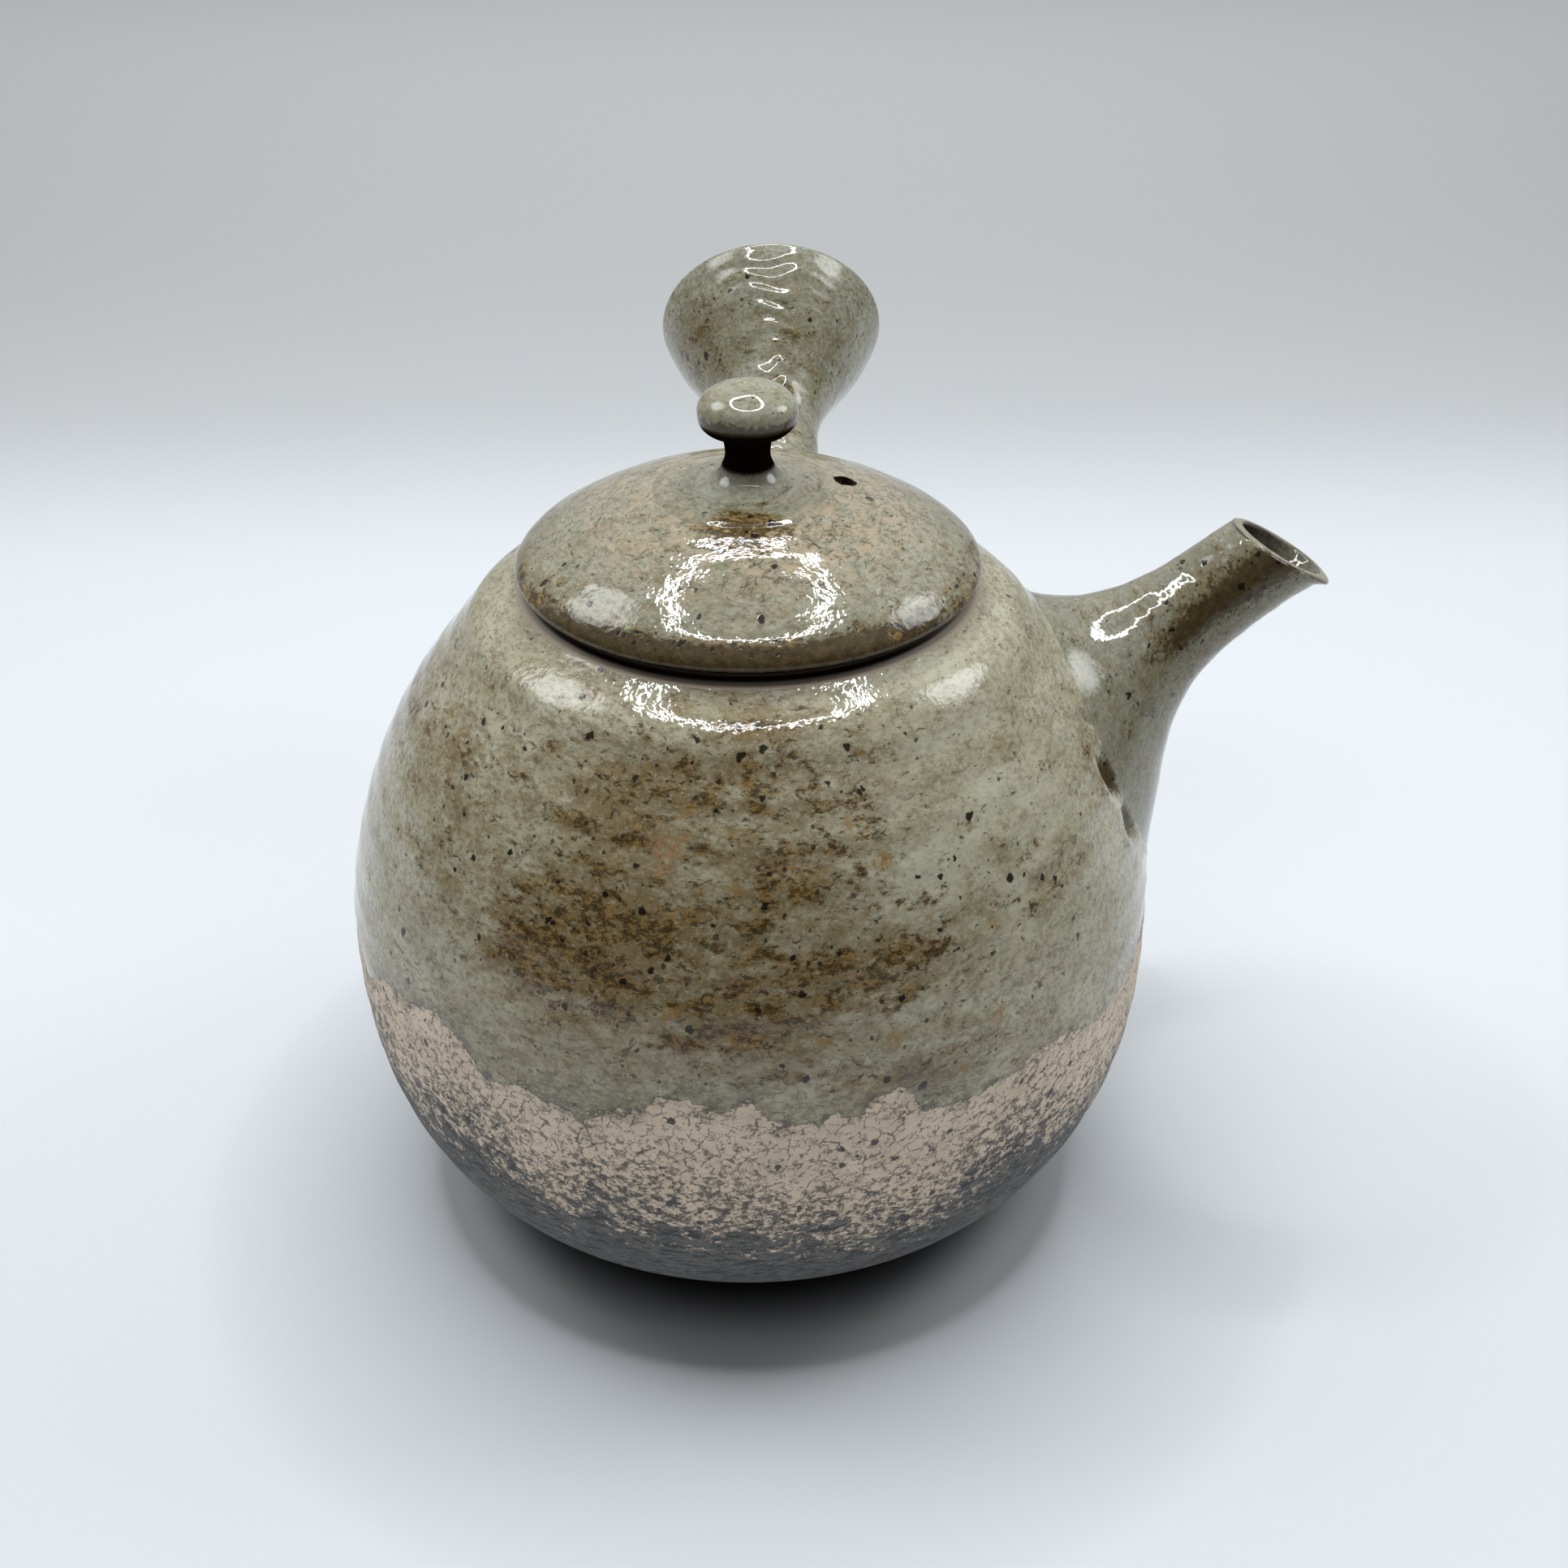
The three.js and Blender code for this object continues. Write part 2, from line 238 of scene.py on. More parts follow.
def out_from(outline: np.ndarray, angle: np.ndarray) -> np.ndarray:
    """Finds the outward direction of a turned skin.

    Args:
        outline: Its outline, points (distance from the axis, height).
        angle: Its columns' angles in radians.

    Returns:
        A unit direction at each point of its grid.
    """
    along = tangents(outline)
    outward, upward = along[:, 1][:, None], -along[:, 0][:, None]
    ones = np.ones_like(angle)
    return np.stack([outward * np.cos(angle), outward * np.sin(angle), upward * ones], axis=2)


def lengths_along(outline: np.ndarray) -> np.ndarray:
    """Returns the distance travelled at each point of an outline, as a column."""
    return np.r_[0, np.cumsum(np.linalg.norm(np.diff(outline, axis=0), axis=1))][:, None]


def skin(name: str, grid: np.ndarray, poles: bool) -> bpy.types.Object:
    """Makes a closed mesh of a grid that wraps round in its columns.

    Args:
        name: The piece's name.
        grid: Points in millimetres (rows, columns, 3). With poles, its first and last rows lie on the axis.
        poles: Whether the ends close in one point each. Otherwise the last row joins the first.

    Returns:
        The new object, at the origin, with smooth faces.
    """
    columns = grid.shape[1]
    inner = grid[1:-1] if poles else grid
    points = inner.reshape(-1, 3)
    count = len(inner)
    index = np.arange(count * columns).reshape(count, columns)
    beside = np.roll(index, -1, axis=1)
    if poles:
        quads = np.stack([index[:-1], beside[:-1], beside[1:], index[1:]], axis=2).reshape(-1, 4)
        points = np.vstack([points, grid[0, 0], grid[-1, 0]])
        start, end = count * columns, count * columns + 1
        caps = [(start, b, a) for a, b in zip(index[0], beside[0])]
        caps += [(end, a, b) for a, b in zip(index[-1], beside[-1])]
    else:
        above, above_beside = np.roll(index, -1, axis=0), np.roll(beside, -1, axis=0)
        quads = np.stack([index, beside, above_beside, above], axis=2).reshape(-1, 4)
        caps = []
    mesh = bpy.data.meshes.new(name)
    faces = [tuple(map(int, face)) for face in quads] + [tuple(map(int, face)) for face in caps]
    mesh.from_pydata((points * MM).tolist(), [], faces)
    mesh.polygons.foreach_set("use_smooth", np.ones(len(mesh.polygons), bool))
    mesh.update()
    made = bpy.data.objects.new(name, mesh)
    bpy.context.scene.collection.objects.link(made)
    return made


def corners_of(piece: bpy.types.Object) -> np.ndarray:
    """Returns a piece's vertices in millimetres."""
    flat = np.zeros(len(piece.data.vertices) * 3)
    piece.data.vertices.foreach_get("co", flat)
    return flat.reshape(-1, 3) / MM


def mark(piece: bpy.types.Object, name: str, values: np.ndarray) -> None:
    """Keeps one number for each vertex of a piece, for its finish to read.

    Args:
        piece: The mesh object.
        name: The attribute's name.
        values: One number for each vertex.
    """
    layer = piece.data.attributes.new(name, "FLOAT", "POINT")
    layer.data.foreach_set("value", np.asarray(values, np.float32))


def drilled(piece: bpy.types.Object, drill: bpy.types.Object) -> None:
    """Cuts a drill's shape out of a piece's mesh, and removes the drill.

    Args:
        piece: The mesh object to cut.
        drill: The closed mesh object to cut with.
    """
    cut = piece.modifiers.new("hole", "BOOLEAN")
    cut.operation = "DIFFERENCE"
    cut.solver = "EXACT"
    cut.object = drill
    bpy.context.view_layer.update()
    evaluated = piece.evaluated_get(bpy.context.evaluated_depsgraph_get())
    mesh = bpy.data.meshes.new_from_object(evaluated)
    piece.modifiers.clear()
    piece.data = mesh
    bpy.data.objects.remove(drill)


def drill_of(radius: float, half: float, place: tuple, lean: float) -> bpy.types.Object:
    """Makes a round drill.

    Args:
        radius: Its radius in millimetres.
        half: Half its length in millimetres.
        place: Its middle.
        lean: How far its axis leans from +Z towards +X, in radians.

    Returns:
        A closed mesh object.
    """
    outline = np.array([(0, -half), (radius, -half), (radius, half), (0, half)])
    grid, _ = swept(outline, 64)
    turned = Matrix.Rotation(lean, 3, "Y")
    grid = grid @ np.array(turned).T + np.array(place)
    return skin("drill", grid, True)


def smooth(value: np.ndarray, low: float, high: float) -> np.ndarray:
    """Returns 0 below low, 1 above high and an even curve between them."""
    share = np.clip((value - low) / (high - low), 0, 1)
    return share * share * (3 - 2 * share)


def azimuth_of(points: np.ndarray) -> np.ndarray:
    """Returns each point's direction round the pot as the viewer counts it, in degrees from -180 to 180."""
    turned = np.degrees(np.arctan2(points[:, 1], points[:, 0])) - POT_TURN
    return (turned + 180) % 360 - 180


def nearness(azimuth: np.ndarray, low: float, high: float) -> np.ndarray:
    """Returns 1 on the side that faces the viewer, 0 at the back and an even curve between them."""
    return smooth(np.cos(np.radians(azimuth - NEAR_SIDE)), low, high)


# Finishes


class Field:
    """A socket whose sums and products add Math nodes to its tree."""

    def __init__(self, nodes: "Nodes", socket: bpy.types.NodeSocket) -> None:
        """Wraps one output socket of a tree."""
        self.nodes = nodes
        self.socket = socket

    def __add__(self, other: "Field | float") -> "Field":
        """Returns the sum."""
        return self.nodes.maths("ADD", self, other)

    __radd__ = __add__

    def __sub__(self, other: "Field | float") -> "Field":
        """Returns the difference."""
        return self.nodes.maths("SUBTRACT", self, other)

    def __rsub__(self, other: "Field | float") -> "Field":
        """Returns the difference from a number."""
        return self.nodes.maths("SUBTRACT", other, self)

    def __mul__(self, other: "Field | float") -> "Field":
        """Returns the product."""
        return self.nodes.maths("MULTIPLY", self, other)

    __rmul__ = __mul__


class Nodes:
    """Adds nodes to one tree."""

    def __init__(self, tree: bpy.types.NodeTree) -> None:
        """Takes the tree to add to."""
        self.tree = tree

    def node(self, kind: str, settings: dict | None = None, sockets: dict | None = None) -> bpy.types.Node:
        """Adds a node.

        Args:
            kind: The node's type.
            settings: Its own settings by name, set first.
            sockets: Values or links of its inputs, by name or number.

        Returns:
            The node.
        """
        made = self.tree.nodes.new(kind)
        for name, value in (settings or {}).items():
            setattr(made, name, value)
        for name, value in (sockets or {}).items():
            self.feed(made.inputs[name], value)
        return made

    def feed(self, socket: bpy.types.NodeSocket, value: object) -> None:
        """Links a field or a socket to an input, or writes a plain value into it."""
        if isinstance(value, Field):
            self.tree.links.new(value.socket, socket)
        elif isinstance(value, bpy.types.NodeSocket):
            self.tree.links.new(value, socket)
        else:
            socket.default_value = value

    def maths(self, operation: str, *values: "Field | float") -> Field:
        """Returns the result of a Math node."""
        made = self.node("ShaderNodeMath", {"operation": operation}, dict(enumerate(values)))
        return Field(self, made.outputs[0])

    def rise(self, value: Field, low: float, high: float) -> Field:
        """Adds a soft step, which falls instead of rising if low is the larger.

        Args:
            value: What decides.
            low: The value at which it is 0.
            high: The value at which it is 1.

        Returns:
            The step.
        """
        sockets = {"Value": value, "From Min": low, "From Max": high}
        made = self.node("ShaderNodeMapRange", {"interpolation_type": "SMOOTHSTEP"}, sockets)
        return Field(self, made.outputs["Result"])

    def length(self, vector: bpy.types.NodeSocket) -> Field:
        """Returns a vector's length."""
        made = self.node("ShaderNodeVectorMath", {"operation": "LENGTH"}, {0: vector})
        return Field(self, made.outputs["Value"])

    def vector(self, operation: str, first: object, second: object) -> bpy.types.NodeSocket:
        """Returns the result of a Vector Math node."""
        made = self.node("ShaderNodeVectorMath", {"operation": operation}, {0: first, 1: second})
        return made.outputs["Vector"]


class Painter(Nodes):
    """Builds one material's nodes."""

    def __init__(self, name: str) -> None:
        """Starts a material with one shader, and finds the place on the piece in millimetres.

        Args:
            name: The material's name.
        """
        self.material = bpy.data.materials.new(name)
        self.material.use_nodes = True
        super().__init__(self.material.node_tree)
        self.tree.nodes.clear()
        self.shader = self.node("ShaderNodeBsdfPrincipled")
        self.output = self.node("ShaderNodeOutputMaterial", sockets={"Surface": self.shader.outputs["BSDF"]})
        metres = self.node("ShaderNodeTexCoord").outputs["Object"]
        self.place = self.vector("MULTIPLY", metres, (1 / MM,) * 3)

    def mark(self, name: str) -> Field:
        """Returns a number that was kept on the mesh."""
        return Field(self, self.node("ShaderNodeAttribute", {"attribute_name": name}).outputs["Fac"])

    def stretched(self, upright: float, radial: float) -> tuple[bpy.types.NodeSocket, Field]:
        """Finds coordinates in which noise runs round the pot, as thrown clay does.

        Args:
            upright: How much finer the pattern is up the wall than round it.
            radial: How much finer it is across a level face than round it.

        Returns:
            The place, squeezed upright, and the distance from the axis.
        """
        squeezed = self.vector("MULTIPLY", self.place, (1.0, 1.0, upright))
        level = self.vector("MULTIPLY", self.place, (1.0, 1.0, 0.0))
        return squeezed, self.length(level) * radial

    def noise(self, size: float, seed: float, detail: float = 2.0, rough: float = 0.5,
              at: tuple | None = None, twist: float = 0.0) -> Field:
        """Adds soft noise.

        Args:
            size: The size of its features in millimetres.
            seed: Chooses the pattern.
            detail: How many finer layers it has.
            rough: How strong they are.
            at: Stretched coordinates, or None for the plain place.
            twist: How far it is distorted.

        Returns:
            A value round 0.5.
        """
        place, drift = (at[0], at[1] + seed * size) if at else (self.place, seed)
        sockets = {"Vector": place, "W": drift, "Scale": 1 / size, "Detail": detail, "Roughness": rough,
                   "Distortion": twist}
        made = self.node("ShaderNodeTexNoise", {"noise_dimensions": "4D"}, sockets)
        return Field(self, made.outputs["Fac"])

    def cells(self, size: float, kind: Cell, shift: float, warp: Field | None = None) -> bpy.types.Node:
        """Adds a cell texture.

        Args:
            size: The size of a cell in millimetres.
            kind: What it measures.
            shift: Moves the pattern, to choose another.
            warp: A value that bends the cells' walls, or None.

        Returns:
            The node, for its Distance and Color outputs.
        """
        place = self.vector("ADD", self.place, (shift, shift * 0.7, shift * 1.3))
        if warp is not None:
            place = self.vector("ADD", place, warp)
        sockets = {"Vector": place, "Scale": 1 / size}
        return self.node("ShaderNodeTexVoronoi", {"feature": kind.value}, sockets)

    def edges(self, size: float, shift: float, warp: Field) -> Field:
        """Returns how far each place lies from the walls of a cell texture."""
        return Field(self, self.cells(size, Cell.EDGE, shift, warp).outputs["Distance"])

    def over(self, factor: "Field | float", below: object, above: object) -> bpy.types.NodeSocket:
        """Lays one colour over another.

        Args:
            factor: How much of the upper colour shows.
            below: The lower colour, a socket or (red, green, blue).
            above: The upper colour.

        Returns:
            The mixed colour's socket.
        """
        colours = [(*c, 1.0) if isinstance(c, tuple) else c for c in (below, above)]
        made = self.node("ShaderNodeMix", {"data_type": "RGBA"}, {0: factor, 6: colours[0], 7: colours[1]})
        return made.outputs[2]

    def stain(self, below: object, above: object, value: Field, low: float, high: float,
              share: "Field | float" = 1.0) -> bpy.types.NodeSocket:
        """Lays one colour over another where a value rises.

        Args:
            below: The lower colour.
            above: The upper colour.
            value: What decides where the upper colour shows.
            low: The value at which it starts to show.
            high: The value at which it shows most.
            share: How much of it shows there.

        Returns:
            The mixed colour's socket.
        """
        return self.over(self.rise(value, low, high) * share, below, above)

    def specks(self, size: float, radius: float, share: "Field | float", shift: float) -> Field:
        """Scatters round specks, one to a cell at most.

        Args:
            size: The size of a cell in millimetres.
            radius: The largest speck's radius in millimetres.
            share: The share of cells that hold one.
            shift: Moves the pattern.

        Returns:
            1 in a speck and 0 outside.
        """
        warp = self.noise(radius * 1.2, shift + 3.1, 1.0)
        cell = self.cells(size, Cell.CENTRE, shift, (warp - 0.5) * radius * 1.6)
        split = self.node("ShaderNodeSeparateColor", sockets={"Color": cell.outputs["Color"]})
        chance = Field(self, split.outputs["Red"])
        spread = Field(self, split.outputs["Green"])
        here = self.rise(chance + share, 1.0, 1.02)
        reach = (spread * 0.65 + 0.35) * (radius / size)
        distance = Field(self, cell.outputs["Distance"])
        return self.rise(reach - distance, 0.0, 0.25 * radius / size) * here

    def finish(self, colour: object, rough: "Field | float", height: Field,
               painted_shade: Field | None = None) -> bpy.types.Material:
        """Feeds the shader.

        Args:
            colour: The base colour's socket.
            rough: The roughness.
            height: The surface's fine relief in millimetres.
            painted_shade: How strongly painted shade darkens the surface where a crevice, gap or bore would
                lie in shadow, or None where there is none.

        Returns:
            The finished material.
        """
        bump = self.node("ShaderNodeBump", sockets={"Strength": 1.0, "Distance": MM, "Height": height})
        self.feed(self.shader.inputs["Base Color"], colour)
        self.feed(self.shader.inputs["Roughness"], rough)
        self.feed(self.shader.inputs["Normal"], bump.outputs["Normal"])
        # Painted shade: a near-black diffuse shader is mixed in where the surface is marked as lying in
        # shadow
        if painted_shade is not None:
            soot_and_painted_shade = self.node("ShaderNodeBsdfDiffuse", sockets={"Color": CREVICE_SHADE_COLOUR})
            mixed = self.node("ShaderNodeMixShader", sockets={
                0: self.rise(painted_shade, 0.2, 1.0), 1: self.shader.outputs["BSDF"], 2: soot_and_painted_shade.outputs["BSDF"]})
            self.feed(self.output.inputs["Surface"], mixed.outputs["Shader"])
        return self.material


@dataclass(frozen=True)
class AshGlaze:
    """The grey-green ash glaze, with its iron clouds, specks and small strokes, and with painted shade and a
    painted sheen where a piece is marked for them.
    """

    name: str
    seed: float = 0.0
    celadon: tuple = (0.262, 0.258, 0.185)
    pale: tuple = (0.335, 0.335, 0.262)
    # The pale of fine flecks, also laid on as a painted sheen
    pale_fleck_and_sheen: tuple = (0.43, 0.43, 0.35)
    tan: tuple = (0.33, 0.27, 0.185)
    olive: tuple = (0.14, 0.125, 0.076)
    bronze: tuple = (0.17, 0.135, 0.062)
    toasted: tuple = (0.066, 0.045, 0.017)
    peach: tuple = (0.40, 0.31, 0.205)
    ochre: tuple = (0.215, 0.138, 0.042)
    umber: tuple = (0.044, 0.03, 0.011)
    iron: tuple = (0.012, 0.008, 0.005)
    rust: tuple = (0.36, 0.17, 0.07)
    buff: tuple = (0.32, 0.255, 0.19)
    tan_share: float = 0.35
    wash_share: float = 0.72
    mottle_share: float = 0.7
    light_share: float = 0.5
    grain: float = 0.02
    gloss: float = 0.05

    def layers(self, paint: Painter) -> tuple[bpy.types.NodeSocket, Field, Field]:
        """Paints the glaze.

        Args:
            paint: The material's painter.

        Returns:
            Its colour, roughness and relief in millimetres.
        """
        seed = self.seed
        thrown, fine, finer = (paint.stretched(*ratios) for ratios in ((1.8, 1.6), (1.3, 1.2), (1.2, 1.1)))
        cloud, patch, burnt_and_hollow_shade = (paint.mark(name) for name in ("cloud", "patch", "toast_and_hollow_shade"))
        tone = paint.noise(10.0, seed + 1, 3.0, 0.5, thrown)
        mottle = paint.noise(0.9, seed + 3, 5.0, 0.7, paint.stretched(1.35, 1.25), 0.3)
        grit = paint.noise(0.95, seed + 6, 5.0, 0.72, finer, 0.4)
        scrap = paint.noise(1.0, seed + 7, 4.0, 0.66, thrown, 0.5)
        colour = self.ground(paint, thrown, fine, tone, mottle)
        stained = paint.rise(paint.noise(3.6, seed + 5, 7.0, 0.72, thrown, 0.3) + cloud * 0.16, 0.53, 0.7)
        iron_tint = paint.stain(self.umber, self.ochre, grit + cloud * 0.02, 0.41, 0.64)
        ragged = paint.rise(paint.noise(0.6, seed + 17, 3.0, 0.7) + stained * 0.14, 0.46, 0.64)
        colour = paint.over(stained * (ragged * 0.66 + 0.24), colour, iron_tint)
        bits = scrap + stained * 0.1 + cloud * 0.04 + patch * 0.035
        colour = paint.stain(colour, self.umber, bits, 0.61, 0.67, 0.78)
        hair = paint.noise(0.45, seed + 8, 2.0, 0.6, paint.stretched(2.8, 2.4), 0.6)
        colour = paint.stain(colour, self.pale, hair, 0.6, 0.72, 0.38)
        broken = paint.rise(paint.noise(3.0, seed + 10, 3.0), 0.5, 0.6)
        veins = paint.edges(1.9, seed + 9, (mottle - 0.5) * 2.2)
        colour = paint.stain(colour, self.umber, veins, 0.05, 0.012, broken * (patch * 0.5 + 0.34))
        plate = paint.noise(1.6, seed + 19, 4.0, 0.62, None, 0.8)
        colour = paint.stain(colour, self.peach, plate, 0.53, 0.56, patch * 0.55)
        # The toast mark lays on real iron-brown toasting and, in the seam's hollows, painted shade
        toast_and_hollow_shade = paint.rise(burnt_and_hollow_shade + (mottle - 0.5) * 1.5 + (scrap - 0.5) * 1.5, 0.3, 0.8)
        colour = paint.over(toast_and_hollow_shade * 0.88, colour, paint.stain(self.umber, self.toasted, grit, 0.46, 0.6))
        halo = paint.specks(4.0, 1.3, cloud * 0.5, seed + 11)
        colour = paint.stain(colour, self.ochre, mottle, 0.4, 0.56, halo * 0.6)
        spots = paint.specks(2.2, 0.62, (cloud + burnt_and_hollow_shade) * 0.85 + 0.08, seed + 12)
        small = paint.specks(1.2, 0.33, (cloud + burnt_and_hollow_shade) * 0.6 + 0.1, seed + 13)
        dark = paint.maths("MAXIMUM", spots, small * 0.85)
        colour = paint.over(dark * 0.96, colour, self.iron)
        rusty = paint.specks(13.0, 2.4, cloud * 0.8 - 0.05, seed + 14)
        colour = paint.stain(colour, self.rust, grit, 0.42, 0.58, rusty * (1 - toast_and_hollow_shade) * 0.45)
        bare = paint.rise(paint.mark("bare") + (mottle - 0.5) * 0.6, 0.35, 0.6)
        colour = paint.over(bare, colour, self.buff)
        # Painted shade: where a piece is marked as lying in shadow, the colour darkens towards near-black
        colour = paint.over(paint.mark("painted_shade") * 0.8, colour, self.iron)
        rough = self.gloss + stained * 0.06 + bare * 0.5
        swell = paint.noise(1.0, seed + 20, 1.0) * 1.2 + paint.noise(2.2, seed + 16, 1.0) * 2.2
        relief = (paint.noise(0.55, seed + 15, 1.0) + swell) * self.grain - dark * 0.01
        return colour, rough, relief

    def ground(self, paint: Painter, thrown: tuple, fine: tuple, tone: Field,
               mottle: Field) -> bpy.types.NodeSocket:
        """Paints the grey-green ground, from its broad tones to its fine mottle, with a painted sheen where
        the piece is marked for one.

        Args:
            paint: The material's painter.
            thrown: Coordinates stretched round the pot.
            fine: Coordinates stretched a little less.
            tone: The broadest noise.
            mottle: The fine noise of its darker mottle.

        Returns:
            The ground's colour.
        """
        seed, cloud, patch = self.seed, paint.mark("cloud"), paint.mark("patch")
        colour = paint.stain(self.celadon, self.pale, tone, 0.38, 0.66)
        flake = paint.noise(2.3, seed + 2, 5.0, 0.66, thrown, 0.5) + patch * 0.07
        colour = paint.stain(colour, self.tan, flake, 0.5, 0.6, patch * 0.4 + self.tan_share)
        wash = paint.noise(3.2, seed + 4, 6.0, 0.7, thrown) + cloud * 0.32
        colour = paint.stain(colour, self.bronze, wash, 0.46, 0.78, self.wash_share)
        colour = paint.stain(colour, self.olive, mottle, 0.46, 0.6, self.mottle_share)
        light = paint.noise(0.8, seed + 18, 5.0, 0.7, fine, 0.4)
        colour = paint.stain(colour, self.pale_fleck_and_sheen, light, 0.52, 0.64, self.light_share)
        # Painted sheen: the pale colour is laid on where a lamp's hazy reflection would fall
        return paint.stain(colour, self.pale_fleck_and_sheen, tone + light * 0.4, 0.5, 0.9, paint.mark("painted_sheen"))

    def material(self) -> bpy.types.Material:
        """Returns the glaze as a material."""
        paint = Painter(self.name)
        return paint.finish(*self.layers(paint), paint.mark("painted_shade"))


BODY_GLAZE = AshGlaze(
    "body_glaze", seed=0.0, celadon=(0.325, 0.303, 0.205), pale=(0.41, 0.395, 0.29),
    pale_fleck_and_sheen=(0.425, 0.41, 0.31), olive=(0.13, 0.107, 0.058), bronze=(0.18, 0.127, 0.055),
    ochre=(0.27, 0.155, 0.042), umber=(0.04, 0.026, 0.009), wash_share=0.9, mottle_share=0.6,
    light_share=0.42, grain=0.036)
SPOUT_GLAZE = AshGlaze(
    "spout_glaze", seed=100.0, celadon=(0.17, 0.167, 0.12), pale=(0.215, 0.214, 0.165),
    mottle_share=0.75, light_share=0.28, grain=0.014)
HANDLE_GLAZE = AshGlaze(
    "handle_glaze", seed=200.0, celadon=(0.23, 0.228, 0.17), pale=(0.30, 0.30, 0.24),
    mottle_share=0.75, light_share=0.35, grain=0.012)
LID_GLAZE = AshGlaze(
    "lid_glaze", seed=300.0, celadon=(0.222, 0.214, 0.148), pale=(0.285, 0.278, 0.208),
    ochre=(0.31, 0.19, 0.06), tan_share=0.5, mottle_share=0.8, light_share=0.36, grain=0.03)
KNOB_GLAZE = AshGlaze(
    "knob_glaze", seed=300.0, mottle_share=0.45, light_share=0.3, grain=0.003, gloss=0.04)


@dataclass(frozen=True)
class BandedWall:
    """The body's wall: ash glaze above, then a crackled slip band, then bare clay."""

    glaze: AshGlaze
    slip: tuple = (0.68, 0.565, 0.445)
    slip_shade: tuple = (0.50, 0.405, 0.305)
    crack: tuple = (0.07, 0.06, 0.055)
    clay: tuple = (0.115, 0.115, 0.114)
    clay_dark: tuple = (0.036, 0.04, 0.045)
    clay_light: tuple = (0.31, 0.30, 0.28)
    border: tuple = (0.115, 0.10, 0.075)
    smoke: tuple = (0.12, 0.105, 0.095)

    def material(self) -> bpy.types.Material:
        """Paints the banded wall.

        Returns:
            The material.
        """
        paint = Painter("banded_wall")
        glaze_colour, glaze_rough, glaze_relief = self.glaze.layers(paint)
        around, drag = paint.stretched(1.6, 1.4), paint.stretched(2.6, 2.0)
        wobble = (paint.noise(1.8, 31, 4.0, 0.6, around) - 0.5) * 4.2
        nibble = (paint.noise(0.8, 39, 3.0, 0.6) - 0.5) * 1.6
        above_edge = paint.mark("glaze_height") + wobble + nibble
        glazed = paint.rise(above_edge, -0.08, 0.08)
        slip_colour, slip_relief = self.slip_layers(paint)
        clay_colour, clay_relief = self.clay_layers(paint, drag)
        tear = paint.noise(2.3, 33, 6.0, 0.74, around, 0.4)
        chips = paint.noise(0.9, 35, 5.0, 0.7, paint.stretched(1.2, 1.1)) - 0.5
        slipped = paint.rise(paint.mark("slip_height") * 0.019 + tear + chips * 0.35, 0.47, 0.51)
        colour = paint.over(slipped, clay_colour, slip_colour)
        thin = paint.rise(above_edge, 8.0, 1.0) * paint.rise(paint.noise(8.0, 37, 2.0), 0.44, 0.58)
        soot_and_painted_shade = paint.rise(paint.noise(0.9, 38, 4.0, 0.68, drag), 0.44, 0.6)
        glaze_colour = paint.over(thin * soot_and_painted_shade * 0.75, glaze_colour, self.smoke)
        seam = paint.rise(above_edge, -0.1, 0.05) * paint.rise(above_edge, 0.6, 0.15)
        smudge = paint.rise(paint.noise(2.6, 36, 4.0, 0.65, around), 0.42, 0.6)
        near_edge = paint.rise(above_edge, 2.6, 0.4) * paint.rise(above_edge, -2.0, -0.2)
        skirt = near_edge * paint.rise(smudge, 0.5, 0.9)
        glaze_colour = paint.over(seam * (0.5 + 0.4 * smudge) + skirt * 0.55, glaze_colour, self.border)
        colour = paint.over(skirt * (0.35 + 0.6 * soot_and_painted_shade), colour, self.smoke)
        colour = paint.over(glazed, colour, glaze_colour)
        matt = slipped * -0.1 + 0.72
        rough = matt + glazed * (glaze_rough - matt)
        unglazed = clay_relief + slipped * (slip_relief - clay_relief + 0.03)
        relief = unglazed + glazed * (glaze_relief + 0.09 - unglazed)
        return paint.finish(colour, rough, relief, paint.mark("painted_shade"))

    def slip_layers(self, paint: Painter) -> tuple[bpy.types.NodeSocket, Field]:
        """Paints the pale slip with its crackle.

        Args:
            paint: The material's painter.

        Returns:
            Its colour and its relief in millimetres.
        """
        tone = paint.noise(4.0, 41, 5.0, 0.65)
        colour = paint.stain(self.slip, self.slip_shade, tone, 0.38, 0.68, 0.6)
        bend = (paint.noise(0.9, 42, 4.0, 0.65) - 0.5) * 2.4
        thinned = paint.rise(paint.noise(2.5, 46, 3.0, 0.6), 0.4, 0.7) * 0.04
        line = paint.rise(paint.edges(1.7, 5.0, bend) - thinned, 0.05, 0.0)
        lines = line * paint.rise(paint.noise(1.0, 43, 5.0, 0.7), 0.44, 0.52)
        colour = paint.over(lines * 0.85, colour, self.crack)
        low = paint.rise(paint.mark("slip_height"), 16.0, 2.0)
        flake = paint.noise(1.0, 44, 6.0, 0.76, paint.stretched(1.3, 1.2))
        fleck = paint.rise(flake + low * 0.08, 0.555, 0.61)
        colour = paint.over(fleck * (low * 0.35 + 0.5), colour, self.clay_dark)
        colour = paint.over(paint.specks(2.2, 0.55, 0.5, 17.0) * 0.9, colour, self.clay_dark)
        return colour, lines * -0.03 - fleck * 0.02 + paint.noise(0.9, 45, 4.0, 0.65) * 0.09

